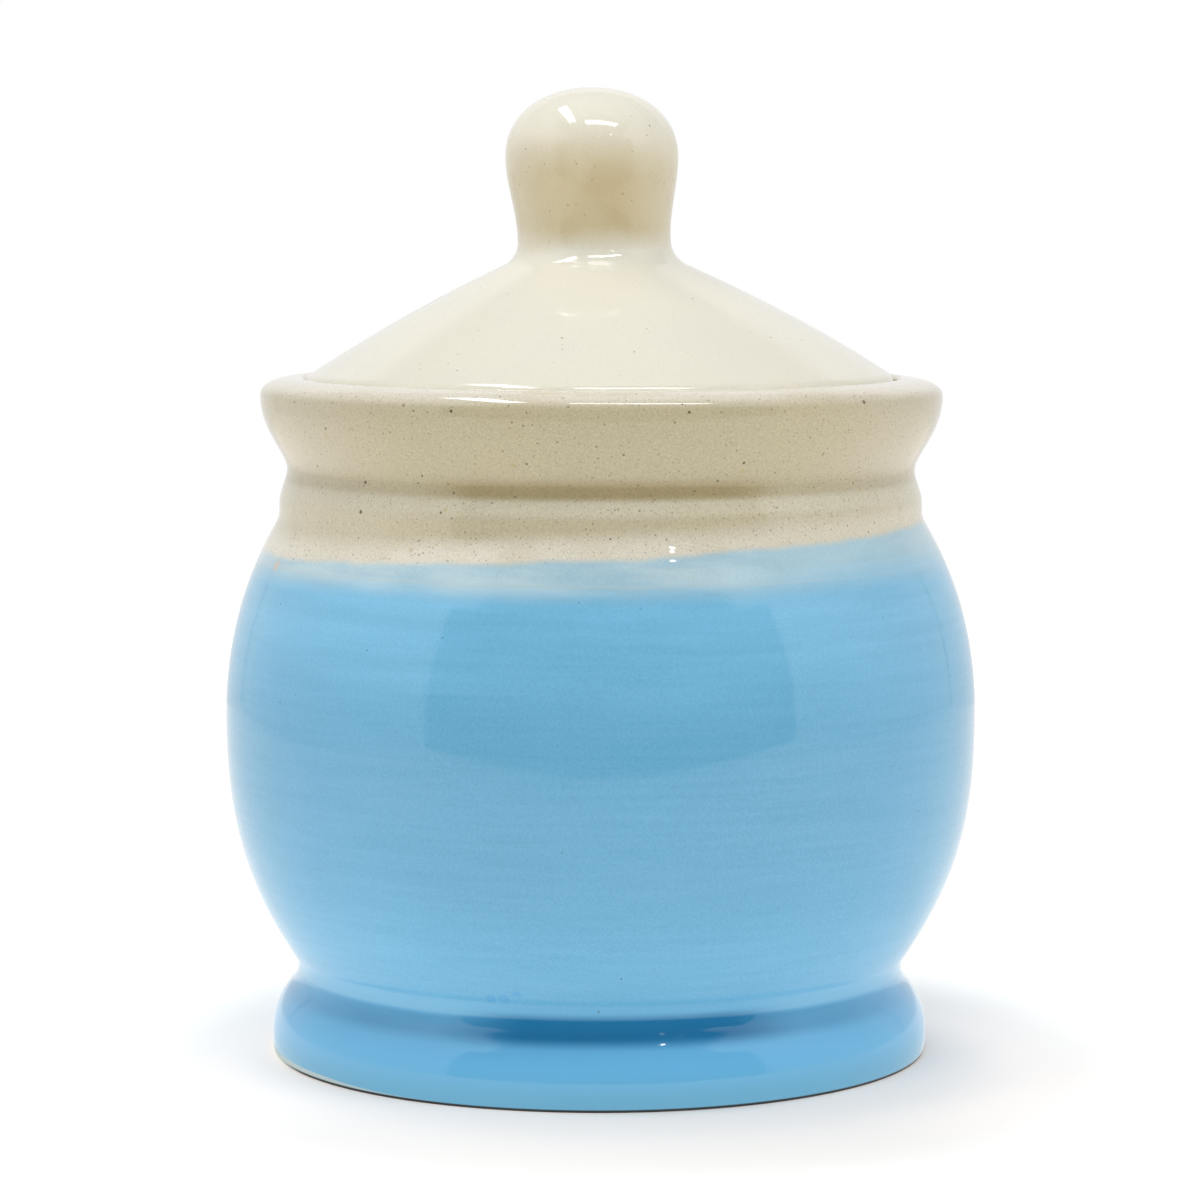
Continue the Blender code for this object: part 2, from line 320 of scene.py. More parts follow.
@dataclass(frozen=True)
class Wheel:
    """Turns a section about the Z axis into a closed mesh."""

    around: int = 288
    merge: float = 0.004 * MM

    def turn(self, name: str, stretches: list[tuple[Zone, Line]], lean: HandLean) -> bpy.types.Object:
        """A turned piece, smooth all over.

        Args:
            name: Name of the piece.
            stretches: The section from axis to axis, in stretches of one zone each.
            lean: How the hand left it.

        Returns:
            The new object, with one material slot index per zone on its faces.
        """
        section: Line = []
        zones: list[Zone] = []
        for zone, line in stretches:
            for point in line:
                if section and math.dist(section[-1], point) < self.merge:
                    continue
                if section:
                    zones.append(zone)
                section.append(point)
        angles = np.arange(self.around) * math.tau / self.around
        radii = np.array([point[0] for point in section[1:-1]])
        heights = np.array([point[1] for point in section[1:-1]])
        rings = np.empty((len(radii), self.around, 3))
        rings[:, :, 0] = radii[:, None] * np.sin(angles)
        rings[:, :, 1] = -radii[:, None] * np.cos(angles)
        rings[:, :, 2] = heights[:, None]
        first = np.array([[0.0, 0.0, section[0][1]]])
        last = np.array([[0.0, 0.0, section[-1][1]]])
        points = lean.moved(np.concatenate([first, rings.reshape(-1, 3), last]))
        faces, face_zones = self.faces(len(radii), zones)
        mesh = bpy.data.meshes.new(name)
        mesh.from_pydata(points.tolist(), [], faces)
        mesh.polygons.foreach_set("material_index", face_zones)
        mesh.shade_smooth()
        mesh.update()
        piece = bpy.data.objects.new(name, mesh)
        bpy.context.scene.collection.objects.link(piece)
        return piece

    def faces(self, rings: int, zones: list[Zone]) -> tuple[list[tuple[int, ...]], list[int]]:
        """The faces between the rings and the two ends on the axis.

        Args:
            rings: Number of rings of points.
            zones: Zone of each run of the section, ends included.

        Returns:
            The faces, and the zone number of each.
        """
        n = self.around
        end = 1 + rings * n
        faces: list[tuple[int, ...]] = []
        numbers: list[int] = []
        for j in range(n):
            faces.append((0, 1 + j, 1 + (j + 1) % n))
            numbers.append(zones[0].value)
        for i in range(rings - 1):
            base = 1 + i * n
            for j in range(n):
                k = (j + 1) % n
                faces.append((base + j, base + n + j, base + n + k, base + k))
                numbers.append(zones[i + 1].value)
        base = 1 + (rings - 1) * n
        for j in range(n):
            faces.append((base + j, end, base + (j + 1) % n))
            numbers.append(zones[-1].value)
        return faces, numbers


@dataclass(frozen=True)
class Cloud:
    """Soft noise: the size of its patches in millimetres, its finer layers and how strong they are."""

    size: float
    detail: float = 2.0
    roughness: float = 0.5


class Bench:
    """A bench on which the nodes of one material or world are laid out."""

    def __init__(self, tree: bpy.types.NodeTree) -> None:
        """Takes a node tree and clears it."""
        self.tree = tree
        tree.nodes.clear()

    @classmethod
    def of_material(cls, name: str) -> tuple[bpy.types.Material, "Bench"]:
        """A new material and its bench.

        Args:
            name: Name of the material.

        Returns:
            Both of them.
        """
        material = bpy.data.materials.new(name)
        material.use_nodes = True
        return material, cls(material.node_tree)

    def node(self, kind: str, **settings: object) -> bpy.types.Node:
        """A new node.

        Args:
            kind: Blender's name for its type.
            **settings: Values of its own properties.

        Returns:
            The node.
        """
        node = self.tree.nodes.new(kind)
        for name, value in settings.items():
            setattr(node, name, value)
        return node

    def feed(self, socket: Socket, value: Feed) -> None:
        """Links a socket to an input, or sets the input's own value.

        Args:
            socket: The input.
            value: What it gets.
        """
        if isinstance(value, bpy.types.NodeSocket):
            self.tree.links.new(value, socket)
        elif isinstance(value, (int, float)):
            socket.default_value = value
        elif socket.type == "RGBA":
            socket.default_value = (*value, OPAQUE)
        else:
            socket.default_value = tuple(value)

    def fed(self, kind: str, values: Sequence[Feed], **settings: object) -> bpy.types.Node:
        """A new node with its first inputs fed in order.

        Args:
            kind: Blender's name for its type.
            values: What the inputs get.
            **settings: Values of its own properties.

        Returns:
            The node.
        """
        node = self.node(kind, **settings)
        for socket, value in zip(node.inputs, values):
            self.feed(socket, value)
        return node

    def end(self, shader: bpy.types.Node, kind: str = "ShaderNodeOutputMaterial") -> None:
        """Leads a shader to the surface."""
        self.feed(self.node(kind).inputs["Surface"], shader.outputs[0])

    def math(self, operation: str, *values: Feed) -> Socket:
        """One arithmetic step on one to three values."""
        return self.fed("ShaderNodeMath", values, operation=operation).outputs[0]

    def vector(self, operation: str, *values: Feed) -> bpy.types.Node:
        """One step on vectors."""
        return self.fed("ShaderNodeVectorMath", values, operation=operation)

    def times(self, first: Feed, *others: Feed) -> Feed:
        """The product of two or more values.

        Args:
            first: The first of them.
            *others: The rest.

        Returns:
            The product's socket.
        """
        for other in others:
            first = self.math("MULTIPLY", first, other)
        return first

    def plus(self, first: Feed, second: Feed) -> Socket:
        """The sum of two values."""
        return self.math("ADD", first, second)

    def minus(self, first: Feed, second: Feed) -> Socket:
        """The first value less the second."""
        return self.math("SUBTRACT", first, second)

    def unsigned(self, value: Feed) -> Socket:
        """A value without its sign."""
        return self.math("ABSOLUTE", value)

    def scaled(self, vector: Feed, factor: Feed) -> Socket:
        """A vector or a colour times a factor.

        Args:
            vector: The vector or colour.
            factor: The factor.

        Returns:
            The product's socket.
        """
        node = self.node("ShaderNodeVectorMath", operation="SCALE")
        self.feed(node.inputs[0], vector)
        self.feed(node.inputs["Scale"], factor)
        return node.outputs[0]

    def rise(self, value: Feed, span: Span, start: float = 0.0, end: float = 1.0) -> Socket:
        """A smooth change over a span.

        Args:
            value: What is read.
            span: Where the change begins and where it is complete.
            start: Result before it.
            end: Result after it.

        Returns:
            The result's socket.
        """
        node = self.node("ShaderNodeMapRange", interpolation_type="SMOOTHSTEP", clamp=True)
        numbers = {"Value": value, "From Min": span[0], "From Max": span[1], "To Min": start, "To Max": end}
        for name, number in numbers.items():
            self.feed(node.inputs[name], number)
        return node.outputs["Result"]

    def fall(self, value: Feed, span: Span, end: float = 0.0) -> Socket:
        """A smooth change over a span, from 1 down to an end."""
        return self.rise(value, span, 1.0, end)

    def blend(self, share: Feed, first: Feed, second: Feed) -> Socket:
        """Two colours mixed.

        Args:
            share: How much of the second there is.
            first: The colour at share 0.
            second: The colour at share 1.

        Returns:
            The mixed colour's socket.
        """
        node = self.node("ShaderNodeMix", data_type="RGBA", blend_type="MIX", clamp_factor=True)
        inputs = [socket for socket in node.inputs if socket.enabled]
        for socket, value in zip(inputs, (share, first, second)):
            self.feed(socket, value)
        return next(socket for socket in node.outputs if socket.enabled)

    def noise(self, place: Socket, cloud: Cloud) -> Socket:
        """Soft noise, about 0.5 on average.

        Args:
            place: Where it is read, in millimetres.
            cloud: What the noise is like.

        Returns:
            The noise's socket.
        """
        node = self.node("ShaderNodeTexNoise", noise_dimensions="3D")
        self.feed(node.inputs["Vector"], place)
        node.inputs["Scale"].default_value = 1.0 / cloud.size
        node.inputs["Detail"].default_value = cloud.detail
        node.inputs["Roughness"].default_value = cloud.roughness
        return node.outputs[0]

    def waver(self, place: Socket, cloud: Cloud, depth: float) -> Socket:
        """Noise about 0, from half a depth below it to half a depth above."""
        return self.math("MULTIPLY_ADD", self.noise(place, cloud), depth, -0.5 * depth)

    def swing(self, value: Socket, depth: float) -> Socket:
        """Noise turned into a factor about 1, from 1 - depth to 1 + depth."""
        return self.math("MULTIPLY_ADD", value, 2.0 * depth, 1.0 - depth)

    def split(self, place: Socket) -> tuple[Socket, Socket, Socket]:
        """The three parts of a vector."""
        outputs = self.fed("ShaderNodeSeparateXYZ", (place,)).outputs
        return outputs[0], outputs[1], outputs[2]

    def joined(self, x: Feed, y: Feed, z: Feed) -> Socket:
        """A vector of three parts."""
        return self.fed("ShaderNodeCombineXYZ", (x, y, z)).outputs[0]

    def lying(self, place: Socket, share: float) -> Socket:
        """A point drawn in to a share of its way from the axis, where noise lies in level streaks."""
        x, y, z = self.split(place)
        return self.joined(self.times(x, share), self.times(y, share), z)

    def bearing(self, x: Socket, y: Socket) -> Socket:
        """The angle round the axis from the front, mirrored behind, in radians."""
        return self.math("ARCTAN2", x, self.unsigned(y))

    def millimetres(self) -> Socket:
        """Where a point lies on its own piece, in millimetres."""
        return self.scaled(self.node("ShaderNodeTexCoord").outputs["Object"], PER_METRE)

    def bumped(self, height: Socket, distance: float) -> Socket:
        """The normal of a surface with fine relief.

        Args:
            height: Height of the relief, as a share of the distance.
            distance: How high a height of 1 is, in metres.

        Returns:
            The normal's socket.
        """
        node = self.node("ShaderNodeBump")
        node.inputs["Strength"].default_value = 1.0
        node.inputs["Distance"].default_value = distance
        self.feed(node.inputs["Height"], height)
        return node.outputs[0]


@dataclass(frozen=True)
class Flecks:
    """Specks scattered through a glaze: one in share of its cells, each of about a radius, in millimetres.

    least_size, size_spread and soft_edge are shares of the radius, and least_depth is a share of the
    strength.
    """

    cell: float
    share: float
    radius: float
    colour: Colour
    strength: float = 1.0
    offset: float = 0.0
    least_size: float = 0.45
    size_spread: float = 1.1
    soft_edge: Span = (0.55, 1.1)
    least_depth: float = 0.4

    def mask(self, bench: Bench, place: Socket) -> Socket:
        """How much of a speck each point shows.

        Args:
            bench: Where the nodes are laid out.
            place: The point, in millimetres.

        Returns:
            The share's socket.
        """
        node = bench.node("ShaderNodeTexVoronoi", voronoi_dimensions="3D", feature="F1")
        moved = bench.vector("ADD", place, (self.offset, self.offset, self.offset)).outputs[0]
        bench.feed(node.inputs["Vector"], moved)
        node.inputs["Scale"].default_value = 1.0 / self.cell
        luck, size, weight = bench.split(node.outputs["Color"])
        chosen = bench.math("GREATER_THAN", luck, 1.0 - self.share)
        spread = self.size_spread * self.radius / self.cell
        least = self.least_size * self.radius / self.cell
        reach = bench.math("MULTIPLY_ADD", size, spread, least)
        dot = bench.fall(bench.math("DIVIDE", node.outputs["Distance"], reach), self.soft_edge)
        deeper = (1.0 - self.least_depth) * self.strength
        depth = bench.math("MULTIPLY_ADD", weight, deeper, self.least_depth * self.strength)
        return bench.times(dot, chosen, depth)


@dataclass(frozen=True)
class GlazeMark:
    """One mark of its own in the glaze.

    Its azimuth is in degrees from the front, its height and radius in millimetres, its soft edge in
    shares of the radius.
    """

    kind: MarkKind
    azimuth: float
    height: float
    radius: float
    soft_edge: Span = (0.55, 1.15)

    def place(self, wall: Line) -> tuple[float, float, float]:
        """Where the mark lies.

        Args:
            wall: The outside wall that it lies on, in metres.

        Returns:
            The place, in millimetres.
        """
        heights = np.array([point[1] * PER_METRE for point in wall])
        radii = np.array([point[0] * PER_METRE for point in wall])
        order = np.argsort(heights)
        radius = float(np.interp(self.height, heights[order], radii[order]))
        angle = math.radians(self.azimuth)
        return (radius * math.sin(angle), -radius * math.cos(angle), self.height)

    def mask(self, bench: Bench, place: Socket, wall: Line) -> Socket:
        """How much of the mark each point shows."""
        distance = bench.vector("DISTANCE", place, self.place(wall)).outputs["Value"]
        return bench.fall(distance, (self.soft_edge[0] * self.radius, self.soft_edge[1] * self.radius))


@dataclass(frozen=True)
class CreamGlaze:
    """The clear cream glaze over a speckled buff clay."""

    colour: Colour = (0.61, 0.545, 0.365)
    warm: Colour = (0.61, 0.515, 0.32)
    patches: Cloud = Cloud(13.0, 3.0)
    warm_span: Span = (0.45, 0.75)
    warm_share: float = 0.35
    mottle: float = 0.05
    grains: Cloud = Cloud(0.27, 1.0)
    grain: float = 0.20
    roughness: float = 0.07
    iron: Flecks = Flecks(cell=1.5, share=0.32, radius=0.15, colour=(0.10, 0.075, 0.04), strength=0.95)
    sand: Flecks = Flecks(
        cell=0.72, share=0.45, radius=0.12, colour=(0.19, 0.145, 0.07), strength=0.72, offset=5.9
    )
    dust: Flecks = Flecks(
        cell=0.42, share=0.42, radius=0.10, colour=(0.33, 0.27, 0.15), strength=0.65, offset=7.3
    )
    ochre: Flecks = Flecks(
        cell=4.5, share=0.12, radius=0.22, colour=(0.58, 0.43, 0.12), strength=0.35, offset=3.1
    )

    def colour_at(self, bench: Bench, place: Socket, base: Feed | None = None) -> Socket:
        """The glaze's colour at each point.

        Args:
            bench: Where its nodes are laid out.
            place: The point, in millimetres.
            base: Colour of the clear glaze, if it isn't the plain one.

        Returns:
            The colour's socket.
        """
        patches = bench.noise(place, self.patches)
        plain = self.colour if base is None else base
        toned = bench.blend(bench.rise(patches, self.warm_span, 0.0, self.warm_share), plain, self.warm)
        speckled = bench.scaled(toned, bench.swing(bench.noise(place, self.grains), self.grain))
        speckled = bench.scaled(speckled, bench.swing(patches, self.mottle))
        for flecks in (self.dust, self.sand, self.ochre, self.iron):
            speckled = bench.blend(flecks.mask(bench, place), speckled, flecks.colour)
        return speckled


@dataclass(frozen=True)
class NeckTones:
    """How the cream changes up the neck: olive where it pools in the groove, darkened further in front as
    painted shade; pale on the band and on the rim, as painted highlight and painted light on the sides.

    Heights and radii are in millimetres, and turns round the axis in radians from the front.
    """

    # Olive in the groove: partly pooled glaze, partly painted shade that is strongest in front.
    pooled_and_shaded: Colour = (0.485, 0.40, 0.225)
    band: Colour = (0.625, 0.565, 0.395)
    # Pale bead below the groove: painted highlight.
    painted_bead_highlight: Colour = (0.735, 0.69, 0.525)
    # Paler band and collar towards the sides, more on the left: painted side light.
    band_painted_side_light: Colour = (0.72, 0.66, 0.48)
    collar_painted_side_light: Colour = (0.64, 0.58, 0.415)
    # Pale rim crest: painted highlight, also laid into the bore to lighten the shade in the gap round the
    # lid.
    rim: Colour = (0.85, 0.79, 0.665)
    band_side_light_left: Span = (-0.75, -0.3)
    band_side_light_right: Span = (0.3, 0.8)
    band_side_light_right_share: float = 0.5
    painted_bead_highlight_rise: Span = (73.8, 75.1)
    groove_rise: Span = (76.0, 77.1)
    groove_fade: Span = (77.9, 79.7)
    collar_side_light_turn: Span = (0.5, 1.0)
    pool_and_shade_turn: Span = (0.38, 0.62)
    pool_and_shade_aside: float = 0.22
    rim_highlight_rise: Span = (87.8, 89.4)
    bore: Span = (40.0, 41.0)

    def base(self, bench: Bench, cream: Colour, place: Socket, angle: Socket) -> Socket:
        """The clear glaze's colour at each height, with the neck's painted shade, highlights and side light.

        Args:
            bench: Where its nodes are laid out.
            cream: Colour of the plain glaze.
            place: The point, in millimetres.
            angle: The point's azimuth from the front, in radians.

        Returns:
            The colour's socket.
        """
        x, y, height = bench.split(place)
        # Painted side light on the band, more on the left.
        right = bench.rise(angle, self.band_side_light_right, 0.0, self.band_side_light_right_share)
        aside = bench.plus(bench.fall(angle, self.band_side_light_left), right)
        tone = bench.blend(aside, self.band, self.band_painted_side_light)
        # Painted highlight on the bead.
        tone = bench.blend(bench.rise(height, self.painted_bead_highlight_rise), tone, self.painted_bead_highlight)
        risen = bench.rise(height, self.groove_rise)
        turned = bench.unsigned(angle)
        # Painted side light on the collar.
        collar = bench.blend(bench.rise(turned, self.collar_side_light_turn), cream, self.collar_painted_side_light)
        tone = bench.blend(risen, tone, collar)
        faded = bench.fall(height, self.groove_fade)
        # Groove olive: pooled glaze and painted shade, strongest in front.
        gathered = bench.fall(turned, self.pool_and_shade_turn, self.pool_and_shade_aside)
        tone = bench.blend(bench.times(risen, faded, gathered), tone, self.pooled_and_shaded)
        radius = bench.vector("LENGTH", bench.joined(x, y, 0.0)).outputs["Value"]
        # Painted highlight on the rim's crest, also over the bore to lighten the shaded gap round the lid.
        crest = bench.math("MAXIMUM", bench.fall(radius, self.bore), bench.rise(height, self.rim_highlight_rise))
        return bench.blend(crest, tone, self.rim)


@dataclass(frozen=True)
class BareClay:
    """Clay that was wiped clean before firing: dry, pale and a little gritty.

    The wipe and contact shadow values are for the foot's edge: heights in millimetres, turns round the axis
    in radians.
    """

    colour: Colour = (0.62, 0.56, 0.44)
    dark: Colour = (0.47, 0.40, 0.29)
    wiped: Colour = (0.84, 0.79, 0.62)
    # Near-black line along the foot's bottom edge: painted contact shadow.
    contact_shadow: Colour = (0.02, 0.028, 0.032)
    roughness: float = 0.75
    stains: Cloud = Cloud(1.2, 4.0)
    stain_span: Span = (0.4, 0.8)
    grit: Cloud = Cloud(0.35, 3.0)
    grit_depth: float = 0.03 * MM
    wipe_cloud: Cloud = Cloud(14.0)
    wipe_waver: float = 0.4
    wipe_height: float = 0.05
    wipe_left: Span = (-1.3, -0.3)
    wipe_left_height: float = 0.85
    wipe_edge: Span = (-0.12, 0.12)
    wipe_turn: Span = (-1.2, -0.3)
    wipe_left_share: float = 0.6
    wipe_share: float = 0.3
    contact_shadow_fade: Span = (0.28, 0.44)
    contact_shadow_turn: Span = (-1.35, -1.05)

    def make(self, name: str) -> bpy.types.Material:
        """A material of bare clay.

        Args:
            name: Name of the material.

        Returns:
            The material.
        """
        material, bench = Bench.of_material(name)
        place = bench.millimetres()
        stained = bench.rise(bench.noise(place, self.stains), self.stain_span)
        shader = bench.node("ShaderNodeBsdfPrincipled")
        bench.feed(shader.inputs["Base Color"], bench.blend(stained, self.colour, self.dark))
        shader.inputs["Roughness"].default_value = self.roughness
        bench.feed(shader.inputs["Normal"], bench.bumped(bench.noise(place, self.grit), self.grit_depth))
        bench.end(shader)
        return material

    def wiped_share(self, bench: Bench, place: Socket, angle: Socket, height: Socket) -> Socket:
        """How bare the foot's edge was wiped: higher up on the left.

        Args:
            bench: Where the nodes are laid out.
            place: The point, in millimetres.
            angle: The point's azimuth from the front, in radians.
            height: The point's height, in millimetres.

        Returns:
            The share's socket.
        """
        cloud = bench.noise(place, self.wipe_cloud)
        line = bench.math("MULTIPLY_ADD", cloud, self.wipe_waver, self.wipe_height)
        line = bench.plus(line, bench.rise(angle, self.wipe_left, self.wipe_left_height, 0.0))
        return bench.rise(bench.minus(line, height), self.wipe_edge)

    def edged(self, bench: Bench, colour: Socket, bare: Socket, angle: Socket, height: Socket) -> Socket:
        """A colour with the wiped edge of the foot over it, and a painted contact shadow: a dark line where
        it meets the table.

        Args:
            bench: Where the nodes are laid out.
            colour: The colour before it.
            bare: How bare each point was wiped.
            angle: The point's azimuth from the front, in radians.
            height: The point's height, in millimetres.

        Returns:
            The colour's socket.
        """
        veil = bench.rise(angle, self.wipe_turn, self.wipe_left_share, self.wipe_share)
        colour = bench.blend(bench.times(bare, veil), colour, self.wiped)
        # Painted contact shadow along the foot's bottom edge, not at the far left.
        contact = bench.times(bench.fall(height, self.contact_shadow_fade), bench.rise(angle, self.contact_shadow_turn))
        return bench.blend(contact, colour, self.contact_shadow)


@dataclass(frozen=True)
class BlueDip:
    """Two dips of blue glaze: a thin one to a slanting line, and a full one to a level line below it.

    Heights and thicknesses are in millimetres, and turns round the axis in radians from the front.
    """

    thin_height: float = 69.35
    thin_slant: float = 2.0
    thin_cloud: Cloud = Cloud(9.0, 3.0)
    thin_waver: float = 1.3
    thin_edge: Span = (-0.45, 0.65)
    thin_lift: float = 0.03
    full_height: float = 65.85
    full_cloud: Cloud = Cloud(11.0)
    full_waver: float = 1.2
    full_lift: float = 0.06
    fade_grains: Cloud = Cloud(0.3, 1.0)
    fade_waver: float = 0.8
    fade_turn: Span = (0.35, 0.95)
    fade_right: float = 3.0
    fade_above: float = 1.0
    fade_length: float = 3.4
    pale_rim: Colour = (0.865, 0.82, 0.69)
    pale_rise: Span = (-3.9, -1.0)
    pale_turn: Span = (0.1, 0.7)
    pale_right: float = 0.55
    thin: Colour = (0.455, 0.68, 0.80)
    thin_clear: Colour = (0.565, 0.74, 0.805)
    thin_right: Colour = (0.44, 0.67, 0.795)
    thin_turn: Span = (0.15, 0.6)
    thin_right_share: float = 0.8
    veil_reach: float = 0.2
    veil: Cloud = Cloud(2.5, 4.0)
    veil_span: Span = (0.35, 0.65)
    veil_depth: float = 0.14
    # Pale line along the full dip's edge: painted highlight.
    edge: Colour = (0.58, 0.71, 0.75)
    edge_highlight_rise: Span = (-0.75, -0.15)
    edge_highlight_fade: Span = (0.05, -0.15)
    edge_highlight_share: float = 0.5
    colour: Colour = (0.162, 0.472, 0.722)
    # Lighter blue low on the belly: painted light thrown up from the table.
    lower: Colour = (0.178, 0.508, 0.760)
    painted_low_light_fade: Span = (16.0, 26.0)
    # Lighter blue high on the belly: painted light from above.
    upper: Colour = (0.225, 0.595, 0.88)
    painted_top_light_rise: Span = (44.0, 62.0)
    deep: Colour = (0.145, 0.45, 0.69)
    deep_reach: float = 0.09
    deep_streaks: Cloud = Cloud(3.2, 4.0, 0.6)
    deep_span: Span = (0.35, 0.75)
    deep_share: float = 0.42
    clouds: Cloud = Cloud(24.0)
    cloud_depth: float = 0.06
    grains: Cloud = Cloud(0.30, 1.0)
    grain: float = 0.095
    streaks: Cloud = Cloud(0.8, 1.0)
    streak: float = 0.02
    streak_reach: float = 0.05
    milky: Colour = (0.42, 0.78, 1.0)
    milk_span: Span = (0.3, 0.7)
    milk: float = 0.045
    base: Colour = (0.155, 0.46, 0.68)
    foot: Colour = (0.165, 0.545, 0.885)
    foot_rise: Span = (1.0, 6.0)
    foot_fade: Span = (9.0, 15.0)
    # Deep blue in the crease: partly pooled glaze, partly painted shade that is strongest in front.
    pooled_and_shaded: Colour = (0.012, 0.20, 0.44)
    pool_and_shade_rise: Span = (7.3, 9.0)
    pool_and_shade_fade: Span = (10.8, 12.1)
    pool_and_shade_share: float = 0.92
    pool_and_shade_middle: float = 0.08
    pool_and_shade_turn: Span = (0.30, 0.62)
    pool_and_shade_aside: float = 0.40
    pool_and_shade_aside_fade: Span = (10.4, 11.2)
    pool_and_shade_far_turn: Span = (0.75, 1.3)
    pool_and_shade_far_aside: float = 0.08
    # Lighter blue under the belly at the sides, just above the crease: painted light thrown up from the
    # table.
    under: Colour = (0.30, 0.66, 0.90)
    painted_underside_light_rise: Span = (10.9, 11.3)
    painted_underside_light_fade: Span = (11.6, 14.4)
    painted_underside_light_share: float = 0.5
    speck: Flecks = Flecks(
        cell=2.4, share=0.24, radius=0.13, colour=(0.05, 0.14, 0.22), strength=0.7, offset=11.7
    )

    def below_thin(self, bench: Bench, place: Socket, angle: Socket, height: Socket) -> Socket:
        """How far a point lies below the thin dip's line.

        Args:
            bench: Where the nodes are laid out.
            place: The point, in millimetres.
            angle: The point's azimuth from the front, in radians.
            height: The point's height, in millimetres.

        Returns:
            The distance's socket, in millimetres.
        """
        slant = bench.math("MULTIPLY_ADD", bench.math("SINE", angle), self.thin_slant, self.thin_height)
        waver = bench.waver(place, self.thin_cloud, self.thin_waver)
        return bench.minus(bench.plus(slant, waver), height)

    def below_full(self, bench: Bench, place: Socket, height: Socket) -> Socket:
        """How far a point lies below the full dip's line, in millimetres."""
        waver = bench.waver(place, self.full_cloud, self.full_waver)
        return bench.minus(bench.plus(waver, self.full_height), height)

    def pale_share(self, bench: Bench, below_thin: Socket, angle: Socket) -> Socket:
        """How pale the cream is just above the thin dip, less so on the right."""
        right = bench.fall(angle, self.pale_turn, self.pale_right)
        return bench.times(bench.rise(below_thin, self.pale_rise), right)

    def edge_highlight_at(self, bench: Bench, below_full: Socket) -> Socket:
        """How much each point shows of the painted highlight along the edge of the full dip."""
        risen = bench.rise(below_full, self.edge_highlight_rise)
        return bench.times(risen, bench.rise(below_full, self.edge_highlight_fade), self.edge_highlight_share)

    def thin_colour(self, bench: Bench, place: Socket, angle: Socket) -> Socket:
        """The thin dip's colour at each point, veiled in level streaks.

        Args:
            bench: Where the nodes are laid out.
            place: The point, in millimetres.
            angle: The point's azimuth from the front, in radians.

        Returns:
            The colour's socket.
        """
        veil = bench.noise(bench.lying(place, self.veil_reach), self.veil)
        thin = bench.blend(bench.rise(veil, self.veil_span), self.thin, self.thin_clear)
        right = bench.rise(angle, self.thin_turn, 0.0, self.thin_right_share)
        thin = bench.blend(right, thin, self.thin_right)
        return bench.scaled(self.grained(bench, place, thin), bench.swing(veil, self.veil_depth))

    def colour_at(self, bench: Bench, place: Socket) -> Socket:
        """The full blue at each point: the belly, the foot, and the crease between them, dark with pooled
        glaze and painted shade.

        Args:
            bench: Where the nodes are laid out.
            place: The point, in millimetres.

        Returns:
            The colour's socket.
        """
        x, y, height = bench.split(place)
        angle = bench.bearing(x, y)
        aside = bench.rise(bench.unsigned(bench.minus(angle, self.pool_and_shade_middle)), self.pool_and_shade_turn)
        toned = self.grained(bench, place, self.streaked(bench, place, height))
        foot = bench.blend(bench.rise(height, self.foot_rise), self.base, self.foot)
        toned = bench.blend(bench.fall(height, self.foot_fade), toned, foot)
        # Pooled glaze and painted shade in the crease.
        toned = bench.blend(self.pool_and_shade(bench, height, angle, aside), toned, self.pooled_and_shaded)
        # Painted light from the table under the belly, at the sides.
        risen = bench.rise(height, self.painted_underside_light_rise)
        faded = bench.fall(height, self.painted_underside_light_fade)
        toned = bench.blend(bench.times(risen, faded, self.painted_underside_light_share, aside), toned, self.under)
        return bench.blend(self.speck.mask(bench, place), toned, self.speck.colour)

    def streaked(self, bench: Bench, place: Socket, height: Socket) -> Socket:
        """The belly's blue, lighter low down and high up as painted light, with the streaks that the hand and
        the dip leave.

        Args:
            bench: Where the nodes are laid out.
            place: The point, in millimetres.
            height: The point's height, in millimetres.

        Returns:
            The colour's socket.
        """
        streaks = bench.noise(bench.lying(place, self.deep_reach), self.deep_streaks)
        toned = bench.blend(bench.rise(height, self.painted_low_light_fade), self.lower, self.colour)
        toned = bench.blend(bench.rise(height, self.painted_top_light_rise), toned, self.upper)
        toned = bench.blend(bench.rise(streaks, self.deep_span, 0.0, self.deep_share), toned, self.deep)
        return bench.scaled(toned, bench.swing(bench.noise(place, self.clouds), self.cloud_depth))

    def grained(self, bench: Bench, place: Socket, colour: Socket) -> Socket:
        """A colour with the fine grain and the fine level streaks of the blue glaze.

        Args:
            bench: Where the nodes are laid out.
            place: The point, in millimetres.
            colour: The colour without them.

        Returns:
            The colour's socket.
        """
        lying = bench.lying(place, self.streak_reach)
        layers = ((place, self.grains, self.grain), (lying, self.streaks, self.streak))
        for where, cloud, depth in layers:
            spread = bench.noise(where, cloud)
            colour = bench.scaled(colour, bench.swing(spread, depth))
            colour = bench.blend(bench.rise(spread, self.milk_span, 0.0, self.milk), colour, self.milky)
        return colour

    def pool_and_shade(self, bench: Bench, height: Socket, angle: Socket, aside: Socket) -> Socket:
        """How dark the crease is: glaze gathered there and painted shade, most in front, less to the sides.

        Args:
            bench: Where the nodes are laid out.
            height: The point's height, in millimetres.
            angle: The point's azimuth from the front, in radians.
            aside: How far the point lies to the sides, from 0 to 1.

        Returns:
            The share's socket.
        """
        kept = bench.rise(bench.unsigned(angle), self.pool_and_shade_far_turn, self.pool_and_shade_aside, self.pool_and_shade_far_aside)
        kept = bench.times(kept, bench.fall(height, self.pool_and_shade_aside_fade))
        gathered = bench.math("MULTIPLY_ADD", aside, bench.minus(kept, 1.0), 1.0)
        risen = bench.rise(height, self.pool_and_shade_rise)
        faded = bench.rise(height, self.pool_and_shade_fade, self.pool_and_shade_share, 0.0)
        return bench.times(risen, faded, gathered)

